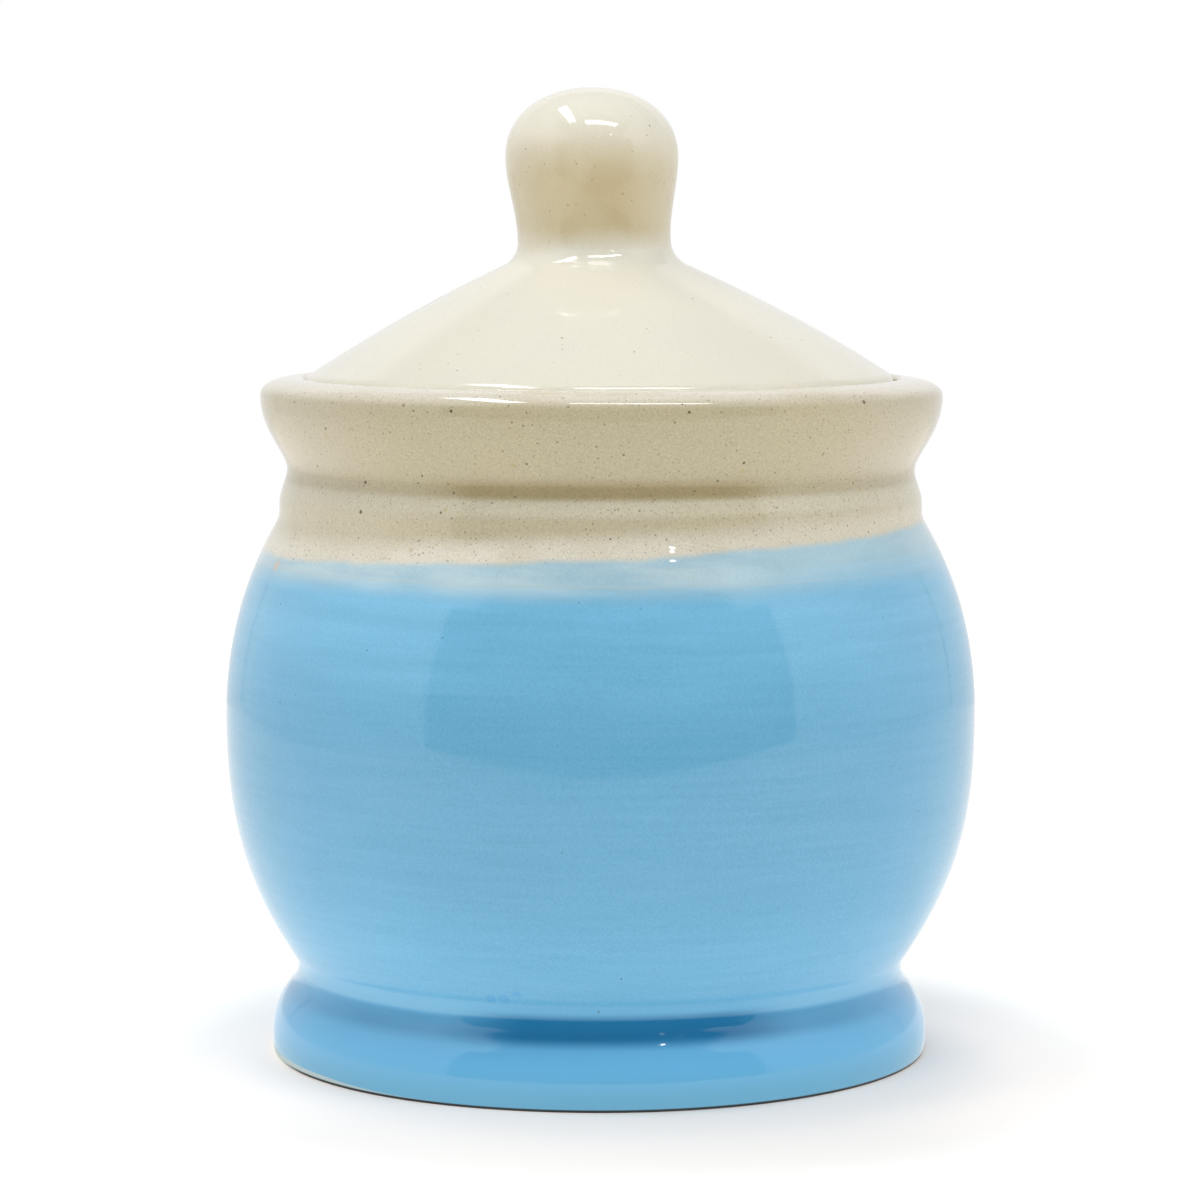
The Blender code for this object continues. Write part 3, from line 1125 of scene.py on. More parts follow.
    def full_share(self, bench: Bench, place: Socket, angle: Socket, below: Socket) -> Socket:
        """How far the full dip covers a point: grainy at its edge, and slower to come on the right.

        Args:
            bench: Where the nodes are laid out.
            place: The point, in millimetres.
            angle: The point's azimuth from the front, in radians.
            below: How far the point lies below the dip's line, in millimetres.

        Returns:
            The share's socket.
        """
        slow = bench.rise(angle, self.fade_turn, 0.0, self.fade_right)
        ragged = bench.plus(below, bench.waver(place, self.fade_grains, self.fade_waver))
        depth = bench.plus(bench.plus(ragged, slow), self.fade_above)
        share = bench.math("DIVIDE", depth, bench.plus(slow, self.fade_length))
        return bench.rise(share, WHOLE)


@dataclass(frozen=True)
class GlazedFinish:
    """Lays glazes on a piece and makes its materials. Depths are in millimetres."""

    cream: CreamGlaze
    clay: BareClay = BareClay()
    neck: NeckTones = NeckTones()
    missed: Colour = (0.74, 0.63, 0.53)
    gathered: Colour = (0.10, 0.40, 0.76)
    firm_mark: float = 0.9
    faint_mark: float = 0.4
    gloss: Cloud = Cloud(6.0, 3.0)
    gloss_span: Span = (0.3, 0.8)
    smoother: float = 0.02
    rougher: float = 0.04
    refraction: float = 1.5
    peel: Cloud = Cloud(2.6)
    peel_depth: float = 0.006
    pits: Cloud = Cloud(0.5, 1.0)
    pit_depth: float = 0.0012

    def plain(self, name: str) -> bpy.types.Material:
        """A material of cream glaze alone.

        Args:
            name: Name of the material.

        Returns:
            The material.
        """
        material, bench = Bench.of_material(name)
        place = bench.millimetres()
        self.finished(bench, place, self.cream.colour_at(bench, place))
        return material

    def finished(
        self,
        bench: Bench,
        place: Socket,
        colour: Socket,
        lift: Socket | None = None,
        bare: Socket | None = None,
    ) -> None:
        """Puts a glossy glaze of a colour on a material.

        Args:
            bench: The material's bench.
            place: The point, in millimetres.
            colour: The colour's socket.
            lift: Thickness of the glaze, in millimetres, if it varies.
            bare: Share of bare clay at each point, if it shows any.
        """
        shader = bench.node("ShaderNodeBsdfPrincipled")
        bench.feed(shader.inputs["Base Color"], colour)
        smooth = self.cream.roughness - self.smoother
        rough = self.cream.roughness + self.rougher
        gloss = bench.rise(bench.noise(place, self.gloss), self.gloss_span, smooth, rough)
        if bare is not None:
            gloss = bench.math("MAXIMUM", gloss, bench.times(bare, self.clay.roughness))
        bench.feed(shader.inputs["Roughness"], gloss)
        shader.inputs["IOR"].default_value = self.refraction
        peel = bench.times(bench.noise(place, self.peel), self.peel_depth)
        height = bench.plus(peel, bench.times(bench.noise(place, self.pits), self.pit_depth))
        if lift is not None:
            height = bench.plus(height, lift)
        bench.feed(shader.inputs["Normal"], bench.bumped(height, MM))
        bench.end(shader)

    def marked(
        self,
        bench: Bench,
        place: Socket,
        colour: Socket,
        marks: Sequence[GlazeMark],
        wall: Line,
    ) -> Socket:
        """A colour with single marks on it.

        Args:
            bench: The material's bench.
            place: The point, in millimetres.
            colour: The colour before the marks.
            marks: The marks.
            wall: The outside wall that they lie on.

        Returns:
            The colour with the marks.
        """
        inks = {
            MarkKind.IRON: (self.cream.iron.colour, self.firm_mark),
            MarkKind.OCHRE: (self.cream.ochre.colour, self.faint_mark),
            MarkKind.MISSED: (self.missed, self.firm_mark),
            MarkKind.GATHERED: (self.gathered, self.faint_mark),
        }
        for kind, (ink, strength) in inks.items():
            masks = [mark.mask(bench, place, wall) for mark in marks if mark.kind is kind]
            if not masks:
                continue
            share = masks[0]
            for mask in masks[1:]:
                share = bench.math("MAXIMUM", share, mask)
            colour = bench.blend(bench.times(share, strength), colour, ink)
        return colour

    def dipped(self, name: str, dip: BlueDip, marks: Sequence[GlazeMark], wall: Line) -> bpy.types.Material:
        """A material of cream glaze with blue dips over its lower part and a wiped foot edge.

        Args:
            name: Name of the material.
            dip: The blue dips.
            marks: Single marks in the glaze.
            wall: The outside wall that the marks lie on.

        Returns:
            The material.
        """
        material, bench = Bench.of_material(name)
        place = bench.millimetres()
        x, y, height = bench.split(place)
        angle = bench.bearing(x, y)
        below_thin = dip.below_thin(bench, place, angle, height)
        below_full = dip.below_full(bench, place, height)
        neck = self.neck.base(bench, self.cream.colour, place, angle)
        base = bench.blend(dip.pale_share(bench, below_thin, angle), neck, dip.pale_rim)
        cream = self.cream.colour_at(bench, place, base)
        thin_share = bench.rise(below_thin, dip.thin_edge)
        full_share = dip.full_share(bench, place, angle, below_full)
        colour = bench.blend(thin_share, cream, dip.thin_colour(bench, place, angle))
        colour = bench.blend(dip.edge_highlight_at(bench, below_full), colour, dip.edge)
        colour = bench.blend(full_share, colour, dip.colour_at(bench, place))
        colour = self.marked(bench, place, colour, marks, wall)
        bare = self.clay.wiped_share(bench, place, angle, height)
        colour = self.clay.edged(bench, colour, bare, angle, height)
        thin_lift = bench.times(thin_share, dip.thin_lift)
        lift = bench.math("MULTIPLY_ADD", full_share, dip.full_lift, thin_lift)
        self.finished(bench, place, colour, lift, bare)
        return material


@dataclass(frozen=True)
class LidGlaze(CreamGlaze):
    """The lid's cream: cleaner and paler than the jar's, warmer round the knob, where painted shade deepens
    the tan in front.

    Heights are in millimetres, and turns round the knob in radians from the front.
    """

    colour: Colour = (0.915, 0.885, 0.755)
    warm: Colour = (0.915, 0.845, 0.68)
    tan: Colour = (0.745, 0.64, 0.405)
    deep_tan: Colour = (0.68, 0.55, 0.32)
    grain: float = 0.06
    iron: Flecks = Flecks(cell=2.2, share=0.20, radius=0.14, colour=(0.24, 0.17, 0.09), strength=0.85)
    sand: Flecks = Flecks(
        cell=1.2, share=0.16, radius=0.12, colour=(0.34, 0.25, 0.13), strength=0.7, offset=5.9
    )
    dust: Flecks = Flecks(
        cell=0.8, share=0.22, radius=0.09, colour=(0.50, 0.40, 0.25), strength=0.45, offset=7.3
    )
    ochre: Flecks = Flecks(
        cell=4.6, share=0.10, radius=0.20, colour=(0.64, 0.48, 0.24), strength=0.4, offset=3.1
    )
    knob_specks: Flecks = Flecks(
        cell=1.2, share=0.5, radius=0.13, colour=(0.30, 0.20, 0.10), strength=0.62, offset=1.7
    )
    knob_shift: float = 1.05
    # The tan is full in front and fades to the sides: painted shade over the clay's warm tone.
    tan_and_shade_turn: Span = (0.3, 1.1)
    tan_and_shade_aside: float = 0.72
    tan_cloud: Cloud = Cloud(8.0)
    tan_waver: float = 3.0
    tan_rise: Span = (105.8, 110.2)
    tan_fade: Span = (115.0, 126.0)
    tan_patches: Cloud = Cloud(9.0)
    deep_span: Span = (0.42, 0.68)
    deep_share: float = 0.6

    def flank(self, bench: Bench, place: Socket) -> Socket:
        """How much each point lies on the knob's tan flank, which is strongest in front as painted shade.

        Args:
            bench: Where the nodes are laid out.
            place: The point, in millimetres.

        Returns:
            The share's socket.
        """
        x, y, height = bench.split(place)
        angle = bench.math("ARCTAN2", bench.plus(x, self.knob_shift), bench.times(y, -1.0))
        # Painted shade: the tan is full in front, less to the sides.
        front = bench.fall(bench.unsigned(angle), self.tan_and_shade_turn, self.tan_and_shade_aside)
        level = bench.plus(height, bench.waver(place, self.tan_cloud, self.tan_waver))
        return bench.times(bench.rise(level, self.tan_rise), bench.fall(level, self.tan_fade), front)

    def knob_colour(self, bench: Bench, place: Socket) -> Socket:
        """The glaze's colour, with the tan and the specks of the clay round the knob's flank, the tan
        deepened in front as painted shade.

        Args:
            bench: Where the nodes are laid out.
            place: The point, in millimetres.

        Returns:
            The colour's socket.
        """
        flank = self.flank(bench, place)
        patch = bench.rise(bench.noise(place, self.tan_patches), self.deep_span, 0.0, self.deep_share)
        base = bench.blend(flank, self.colour, bench.blend(patch, self.tan, self.deep_tan))
        specks = bench.times(flank, self.knob_specks.mask(bench, place))
        return bench.blend(specks, self.colour_at(bench, place, base), self.knob_specks.colour)


@dataclass
class JarBody:
    """The jar: ring foot, belly, neck band, groove and flared collar with a ledge inside."""

    foot_radius: float = 43.85 * MM
    foot_height: float = 11.09 * MM
    foot_edge_width: float = 0.35 * MM
    foot_edge_height: float = 2.42 * MM
    foot_ring_width: float = 5.5 * MM
    foot_flare_lean: float = math.radians(39.5)
    foot_flare_pull: float = 3.26 * MM
    foot_waist_pull: float = 2.3 * MM
    recess_depth: float = 3.0 * MM
    recess_draft: float = 1.2 * MM
    recess_round: float = 0.8 * MM
    waist_radius: float = 39.75 * MM
    waist_round: float = 3.3 * MM
    belly_radius: float = 50.0 * MM
    belly_rise: float = 34.01 * MM
    belly_lean: float = math.radians(33.6)
    belly_waist_pull: float = 11.6 * MM
    belly_lower_pull: float = 14.2 * MM
    belly_upper_pull: float = 12.15 * MM
    shoulder_rise: float = 26.45 * MM
    shoulder_lean: float = math.radians(29.6)
    shoulder_pull: float = 6.4 * MM
    shoulder_round: float = 3.4 * MM
    wall: float = 4.6 * MM
    floor_thickness: float = 5.5 * MM
    floor_round: float = 8.0 * MM
    neck_radius: float = 41.68 * MM
    neck_wall: float = 5.18 * MM
    groove_depth: float = 1.02 * MM
    band_height: float = 1.75 * MM
    groove_rise: float = 4.6 * MM
    groove_pull: float = 1.35 * MM
    band_pull: float = 1.8 * MM
    mouth_round: float = 4.0 * MM
    collar_height: float = 12.1 * MM
    collar_lower_pull: float = 2.1 * MM
    collar_upper_pull: float = 4.7 * MM
    ledge_width: float = 3.0 * MM
    ledge_depth: float = 5.5 * MM
    ledge_round: float = 0.7 * MM
    rim_wall: float = 5.75 * MM
    rim_inner_round: float = 0.6 * MM
    rim_crown: float = 2.4 * MM
    rim_crest_pull: float = 2.3 * MM
    rim_lip_pull: float = 1.9 * MM
    rib: Rib = Rib()
    wheel: Wheel = Wheel()
    lean: HandLean = HandLean(
        heights=(0.0, 10.0 * MM, 25.0 * MM, 45.0 * MM, 72.0 * MM, 90.0 * MM),
        shifts=(-0.20 * MM, -0.10 * MM, 0.03 * MM, 0.06 * MM, 0.05 * MM, 0.16 * MM),
        tilts=(
            Tilt(slope=0.0028, low=66.0 * MM, full=80.0 * MM, bore=39.7 * MM, rim=41.5 * MM),
            Tilt(
                slope=0.0020,
                low=1.5 * MM,
                full=8.5 * MM,
                fade=12.0 * MM,
                top=24.0 * MM,
                bore=37.0 * MM,
                rim=39.5 * MM,
            ),
        ),
        oval=-0.08 * MM,
        three_lobe=-0.05 * MM,
        swell=0.015 * MM,
    )
    marks: tuple[GlazeMark, ...] = (
        GlazeMark(MarkKind.IRON, -48.4, 88.0, 0.20),
        GlazeMark(MarkKind.IRON, -40.0, 88.3, 0.18),
        GlazeMark(MarkKind.IRON, -30.8, 87.4, 0.18),
        GlazeMark(MarkKind.IRON, -24.0, 87.5, 0.27),
        GlazeMark(MarkKind.IRON, -51.0, 84.6, 0.24),
        GlazeMark(MarkKind.IRON, -45.4, 77.9, 0.27),
        GlazeMark(MarkKind.IRON, -45.2, 74.2, 0.30),
        GlazeMark(MarkKind.IRON, -32.0, 79.1, 0.20),
        GlazeMark(MarkKind.IRON, -10.0, 83.6, 0.18),
        GlazeMark(MarkKind.IRON, 14.0, 87.5, 0.20),
        GlazeMark(MarkKind.IRON, 47.2, 88.1, 0.30),
        GlazeMark(MarkKind.OCHRE, -51.4, 83.5, 0.40),
        GlazeMark(MarkKind.OCHRE, -14.6, 80.8, 0.40),
        GlazeMark(MarkKind.OCHRE, -27.0, 75.0, 0.32),
        GlazeMark(MarkKind.OCHRE, -32.8, 69.9, 0.38),
        GlazeMark(MarkKind.OCHRE, 24.6, 79.9, 0.38),
        GlazeMark(MarkKind.OCHRE, 52.0, 76.7, 0.30),
        GlazeMark(MarkKind.MISSED, -67.2, 66.35, 0.9),
        GlazeMark(MarkKind.GATHERED, -19.3, 13.6, 0.8),
        GlazeMark(MarkKind.GATHERED, -16.9, 13.7, 0.9),
        GlazeMark(MarkKind.GATHERED, -14.4, 14.4, 0.7),
    )

    @property
    def seat_radius(self) -> float:
        """Outer radius of the flat foot ring."""
        return self.foot_radius - self.foot_edge_width

    @property
    def floor_height(self) -> float:
        """Height of the inside floor."""
        return self.recess_depth + self.floor_thickness

    @property
    def belly_height(self) -> float:
        """Height of the widest belly."""
        return self.foot_height + self.belly_rise

    @property
    def neck_height(self) -> float:
        """Height at which the neck band starts."""
        return self.belly_height + self.shoulder_rise

    @property
    def band_radius(self) -> float:
        """Radius of the neck band."""
        return self.neck_radius + self.groove_depth

    @property
    def groove_height(self) -> float:
        """Height of the narrow of the groove."""
        return self.neck_height + self.band_height + self.groove_rise

    @property
    def rim_height(self) -> float:
        """Height of the rim's crest."""
        return self.groove_height + self.collar_height

    @property
    def ledge_height(self) -> float:
        """Height of the ledge that carries the lid."""
        return self.rim_height - self.ledge_depth

    @property
    def mouth_radius(self) -> float:
        """Radius of the mouth below the ledge."""
        return self.neck_radius - self.neck_wall

    @property
    def collar_bore(self) -> float:
        """Radius of the collar's bore above the ledge."""
        return self.mouth_radius + self.ledge_width

    @property
    def lip(self) -> Point:
        """The widest point of the rim."""
        return (self.collar_bore + self.rim_wall, self.rim_height - self.rim_crown)

    def waist(self) -> Line:
        """The crease between foot and belly, from below.

        Returns:
            Points along the crease.
        """
        corner = (self.waist_radius, self.foot_height)
        arriving = leaning(-self.foot_flare_lean)
        return self.rib.rounded(arriving, corner, leaning(self.belly_lean), self.waist_round)

    def shoulder(self) -> Line:
        """The hollow between shoulder and neck band, from below."""
        corner = (self.band_radius, self.neck_height)
        return self.rib.rounded(leaning(-self.shoulder_lean), corner, UP, self.shoulder_round)

    def foot(self) -> Line:
        """The outside of the foot, from the table up to the waist.

        Returns:
            Points along the foot.
        """
        centre = (self.seat_radius, self.foot_edge_height)
        edge = self.rib.elliptic(centre, self.foot_edge_width, self.foot_edge_height, -math.pi / 2.0, 0.0)
        waist = self.waist()[0]
        up = along(edge[-1], UP, self.foot_flare_pull)
        back = along(waist, leaning(-self.foot_flare_lean), -self.foot_waist_pull)
        return edge + self.rib.cubic(edge[-1], up, back, waist)[1:]

    def belly(self) -> Line:
        """The outside of the belly, from the waist up to the shoulder.

        Returns:
            Points along the belly.
        """
        bottom = self.waist()[-1]
        top = self.shoulder()[0]
        widest = (self.belly_radius, self.belly_height)
        out = along(bottom, leaning(self.belly_lean), self.belly_waist_pull)
        lower = self.rib.cubic(bottom, out, along(widest, DOWN, self.belly_lower_pull), widest)
        back = along(top, leaning(-self.shoulder_lean), -self.shoulder_pull)
        upper = self.rib.cubic(widest, along(widest, UP, self.belly_upper_pull), back, top)
        return lower + upper[1:]

    def collar(self) -> Line:
        """The outside of neck band, groove and collar, from the shoulder up to the lip.

        Returns:
            Points along all three.
        """
        band_top = (self.band_radius, self.neck_height + self.band_height)
        groove = (self.neck_radius, self.groove_height)
        in_pull = along(band_top, UP, self.band_pull)
        step_in = self.rib.cubic(band_top, in_pull, along(groove, DOWN, self.groove_pull), groove)
        out_pull = along(groove, UP, self.collar_lower_pull)
        flare = self.rib.cubic(groove, out_pull, along(self.lip, DOWN, self.collar_upper_pull), self.lip)
        return step_in + flare[1:]

    def outside(self) -> Line:
        """The outside wall from the table up to the lip."""
        return self.foot() + self.waist()[1:] + self.belly()[1:] + self.shoulder()[1:] + self.collar()

    def rim(self) -> Line:
        """The rim, from the bore over the crest to the lip.

        Returns:
            Points along the rim.
        """
        crest = (self.collar_bore + self.rim_inner_round, self.rim_height)
        centre = along(crest, DOWN, self.rim_inner_round)
        inner = self.rib.elliptic(centre, self.rim_inner_round, self.rim_inner_round, math.pi, math.pi / 2.0)
        crest_pull = along(crest, OUT, self.rim_crest_pull)
        outer = self.rib.cubic(crest, crest_pull, along(self.lip, UP, self.rim_lip_pull), self.lip)
        return inner + outer[1:]

    def inside(self) -> Line:
        """The inside, from the middle of the floor up to the mouth under the ledge.

        Returns:
            Points along the inside.
        """
        rib = self.rib
        wall = rib.inset(self.belly(), self.wall)
        foot_of_wall = reach_height(wall[0], leaning(self.belly_lean), self.floor_height)
        top_of_wall = reach_radius(wall[-1], leaning(-self.shoulder_lean), self.mouth_radius)
        round_floor = rib.rounded(OUT, foot_of_wall, leaning(self.belly_lean), self.floor_round)
        round_mouth = rib.rounded(leaning(-self.shoulder_lean), top_of_wall, UP, self.mouth_round)
        ledge_edge = rib.rounded(UP, (self.mouth_radius, self.ledge_height), OUT, self.ledge_round)
        line = rib.straight((0.0, self.floor_height), round_floor[0]) + round_floor[1:]
        line += [point for point in wall if round_floor[-1][1] < point[1] < round_mouth[0][1]]
        return line + round_mouth + rib.straight(round_mouth[-1], ledge_edge[0])[1:] + ledge_edge[1:]

    def ledge(self) -> Line:
        """The ledge that carries the lid, out to the foot of the bore.

        Returns:
            Points along the ledge.
        """
        start = self.inside()[-1]
        corner = self.rib.rounded(OUT, (self.collar_bore, self.ledge_height), UP, self.ledge_round)
        return self.rib.straight(start, corner[0]) + corner[1:]

    def underside(self) -> tuple[Line, Line]:
        """The flat foot ring with its inner edge, and the recess inside it.

        Returns:
            Points along each of them.
        """
        ring_edge = (self.seat_radius - self.foot_ring_width, 0.0)
        ceiling_edge = (ring_edge[0] - self.recess_draft, self.recess_depth)
        slope = leaning(-math.atan2(self.recess_draft, self.recess_depth))
        inner = self.rib.rounded(IN, ring_edge, slope, self.recess_round)
        ceiling = self.rib.rounded(slope, ceiling_edge, IN, self.recess_round)
        ring = self.rib.straight((self.seat_radius, 0.0), inner[0]) + inner[1:]
        return ring, [inner[-1]] + ceiling + self.rib.straight(ceiling[-1], (0.0, self.recess_depth))[1:]

    def stretches(self) -> list[tuple[Zone, Line]]:
        """The whole section, from the floor up the inside, down the outside and under the foot.

        Returns:
            Each stretch with its zone.
        """
        ledge = self.ledge()
        rim = self.rim()
        ring, recess = self.underside()
        return [
            (Zone.INSIDE, self.inside()),
            (Zone.BARE, ledge),
            (Zone.OUTSIDE, self.rib.straight(ledge[-1], rim[0])),
            (Zone.OUTSIDE, rim + self.outside()[-2::-1]),
            (Zone.BARE, ring),
            (Zone.BARE, recess),
        ]

    def build(self) -> bpy.types.Object:
        """Turns the jar, dresses it and puts it on its body.

        Returns:
            The jar's object.
        """
        piece = self.wheel.turn("jar_body", self.stretches(), self.lean)
        finish = GlazedFinish(CreamGlaze())
        piece.data.materials.append(finish.dipped("dipped_glaze", BlueDip(), self.marks, self.outside()))
        piece.data.materials.append(finish.plain("jar_cream_glaze"))
        piece.data.materials.append(finish.clay.make("jar_bare_clay"))
        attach(piece, "jar")
        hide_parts("jar")
        return piece


@dataclass
class Lid:
    """The lid: flange, low dome, centring ring below and bulb knob on top."""

    seat_height: float = 84.8 * MM
    radius: float = 39.1 * MM
    flange: float = 5.3 * MM
    edge_round: float = 1.8 * MM
    under_round: float = 0.7 * MM
    wall: float = 4.5 * MM
    hollow_round: float = 2.5 * MM
    dome_rise: float = 15.65 * MM
    dome_edge_slope: float = math.radians(32.8)
    dome_stem_slope: float = math.radians(24.4)
    dome_pull: float = 10.2 * MM
    ring_radius: float = 35.6 * MM
    ring_drop: float = 5.0 * MM
    ring_wall: float = 4.1 * MM
    ring_round: float = 1.2 * MM
    stem_radius: float = 10.2 * MM
    stem_rise: float = 2.8 * MM
    stem_fillet: float = 3.5 * MM
    knob_radius: float = 11.5 * MM
    knob_rise: float = 10.6 * MM
    knob_lower_pull: float = 3.5 * MM
    knob_crown: float = 9.1 * MM
    knob_fullness: float = 0.59
    rib: Rib = Rib(step=0.4 * MM)
    wheel: Wheel = Wheel()
    lean: HandLean = HandLean(
        heights=(80.0 * MM, 89.0 * MM, 94.0 * MM, 104.0 * MM, 110.0 * MM, 117.0 * MM, 128.0 * MM),
        shifts=(0.05 * MM, 0.05 * MM, -0.12 * MM, -0.55 * MM, -0.82 * MM, -1.05 * MM, -1.12 * MM),
        tilts=(Tilt(slope=-0.004, low=87.0 * MM, full=96.0 * MM),),
        oval=0.06 * MM,
        three_lobe=0.04 * MM,
        swell=0.010 * MM,
        swell_length=24.0 * MM,
    )
    marks: tuple[GlazeMark, ...] = (
        GlazeMark(MarkKind.IRON, -16.0, 118.5, 0.30),
        GlazeMark(MarkKind.IRON, 11.8, 115.7, 0.18),
        GlazeMark(MarkKind.OCHRE, 47.4, 115.0, 0.45),
    )

    def raised(self, line: Line) -> Line:
        """A line lifted from the seat at height 0 to where the lid rests."""
        return [(radius, height + self.seat_height) for radius, height in line]

    def knob(self) -> Line:
        """The outside of the knob, from its top down to the narrow of the stem.

        Returns:
            Points along the knob.
        """
        stem = (self.stem_radius, self.flange + self.dome_rise + self.stem_rise)
        widest = (self.knob_radius, stem[1] + self.knob_rise)
        top = (0.0, widest[1] + self.knob_crown)
        out = along(top, OUT, self.knob_radius * self.knob_fullness)
        crown = self.rib.cubic(top, out, along(widest, UP, self.knob_crown * self.knob_fullness), widest)
        down = along(widest, DOWN, self.knob_lower_pull)
        return crown + self.rib.cubic(widest, down, along(stem, UP, self.knob_lower_pull), stem)[1:]

    def dome(self) -> Line:
        """The top of the lid, from the stem's fillet out to its rounded edge.

        Returns:
            Points along the top.
        """
        foot_of_stem = (self.stem_radius, self.flange + self.dome_rise)
        fillet = self.rib.rounded(DOWN, foot_of_stem, falling(self.dome_stem_slope), self.stem_fillet)
        slope = falling(self.dome_edge_slope)
        edge = self.rib.rounded(slope, (self.radius, self.flange), DOWN, self.edge_round)
        out = along(fillet[-1], falling(self.dome_stem_slope), self.dome_pull)
        back = along(edge[0], slope, -self.dome_pull)
        return fillet + self.rib.cubic(fillet[-1], out, back, edge[0])[1:-1] + edge

    def seat(self) -> Line:
        """The flange's flat seat with its two rounded edges, from the rim inward.

        Returns:
            Points along the seat.
        """
        outer = self.rib.rounded(DOWN, (self.radius, 0.0), IN, self.under_round)
        inner = self.rib.rounded(IN, (self.ring_radius, 0.0), DOWN, self.under_round)
        return outer + self.rib.straight(outer[-1], inner[0])[1:] + inner[1:]

    def hollow(self) -> Line:
        """The centring ring and the hollow under the dome, from the seat to the middle.

        Returns:
            Points along both.
        """
        rib = self.rib
        bore = self.ring_radius - self.ring_wall
        outer = rib.rounded(DOWN, (self.ring_radius, -self.ring_drop), IN, self.ring_round)
        inner = rib.rounded(IN, (bore, -self.ring_drop), UP, self.ring_round)
        rise = math.tan(self.dome_edge_slope) * (self.radius - bore)
        spring = (bore, self.flange + rise - self.wall / math.cos(self.dome_edge_slope))
        middle = (0.0, self.flange + self.dome_rise - self.wall)
        climb = reverse(falling(self.dome_edge_slope))
        turn = rib.rounded(UP, spring, climb, self.hollow_round)
        out = along(turn[-1], climb, self.dome_pull)
        vault = rib.cubic(turn[-1], out, along(middle, OUT, self.stem_radius), middle)
        line = rib.straight(self.seat()[-1], outer[0]) + outer[1:]
        line += rib.straight(outer[-1], inner[0])[1:] + inner[1:]
        return line + rib.straight(inner[-1], turn[0])[1:] + turn[1:] + vault[1:]

    def stretches(self) -> list[tuple[Zone, Line]]:
        """The whole section, from the knob's top over the edge and back under the dome.

        Returns:
            Each stretch with its zone.
        """
        top = self.knob() + self.dome()
        seat = self.seat()
        return [
            (Zone.OUTSIDE, self.raised(top + self.rib.straight(top[-1], seat[0])[1:])),
            (Zone.BARE, self.raised(seat)),
            (Zone.INSIDE, self.raised(self.hollow())),
        ]

    def dressed(self, finish: GlazedFinish, glaze: LidGlaze) -> bpy.types.Material:
        """The lid's outside glaze with its marks.

        Args:
            finish: What lays the glaze.
            glaze: The glaze.

        Returns:
            The material.
        """
        material, bench = Bench.of_material("lid_cream_glaze")
        place = bench.millimetres()
        colour = glaze.knob_colour(bench, place)
        colour = finish.marked(bench, place, colour, self.marks, self.raised(self.knob()))
        finish.finished(bench, place, colour)
        return material

    def build(self) -> bpy.types.Object:
        """Turns the lid, dresses it and puts it on its body.

        Returns:
            The lid's object.
        """
        piece = self.wheel.turn("lid_body", self.stretches(), self.lean)
        glaze = LidGlaze()
        finish = GlazedFinish(glaze)
        piece.data.materials.append(self.dressed(finish, glaze))
        piece.data.materials.append(finish.plain("lid_hollow_glaze"))
        piece.data.materials.append(finish.clay.make("lid_bare_clay"))
        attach(piece, "lid")
        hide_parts("lid")
        return piece


@dataclass(frozen=True)
class Panel:
    """A flat lamp: where it hangs, its size, what it looks at and how bright its face is.

    A lamp that doesn't light dull surfaces shows in the gloss only.
    """

    name: str
    place: Place
    width: float
    length: float
    brightness: float
    aim: Place = (0.0, 0.0, 0.07)
    lights_dull: bool = True

    def hang(self) -> None:
        """Hangs the lamp, unseen by the camera."""
        lamp = bpy.data.lights.new(self.name, "AREA")
        lamp.shape = "RECTANGLE"
        lamp.size = self.width
        lamp.size_y = self.length
        lamp.energy = self.brightness * self.width * self.length * WATTS_PER_LEVEL
        thing = bpy.data.objects.new(self.name, lamp)
        thing.location = self.place
        direction = Vector(self.aim) - Vector(self.place)
        thing.rotation_euler = direction.to_track_quat("-Z", "Y").to_euler()
        thing.visible_camera = False
        thing.visible_diffuse = self.lights_dull
        bpy.context.scene.collection.objects.link(thing)


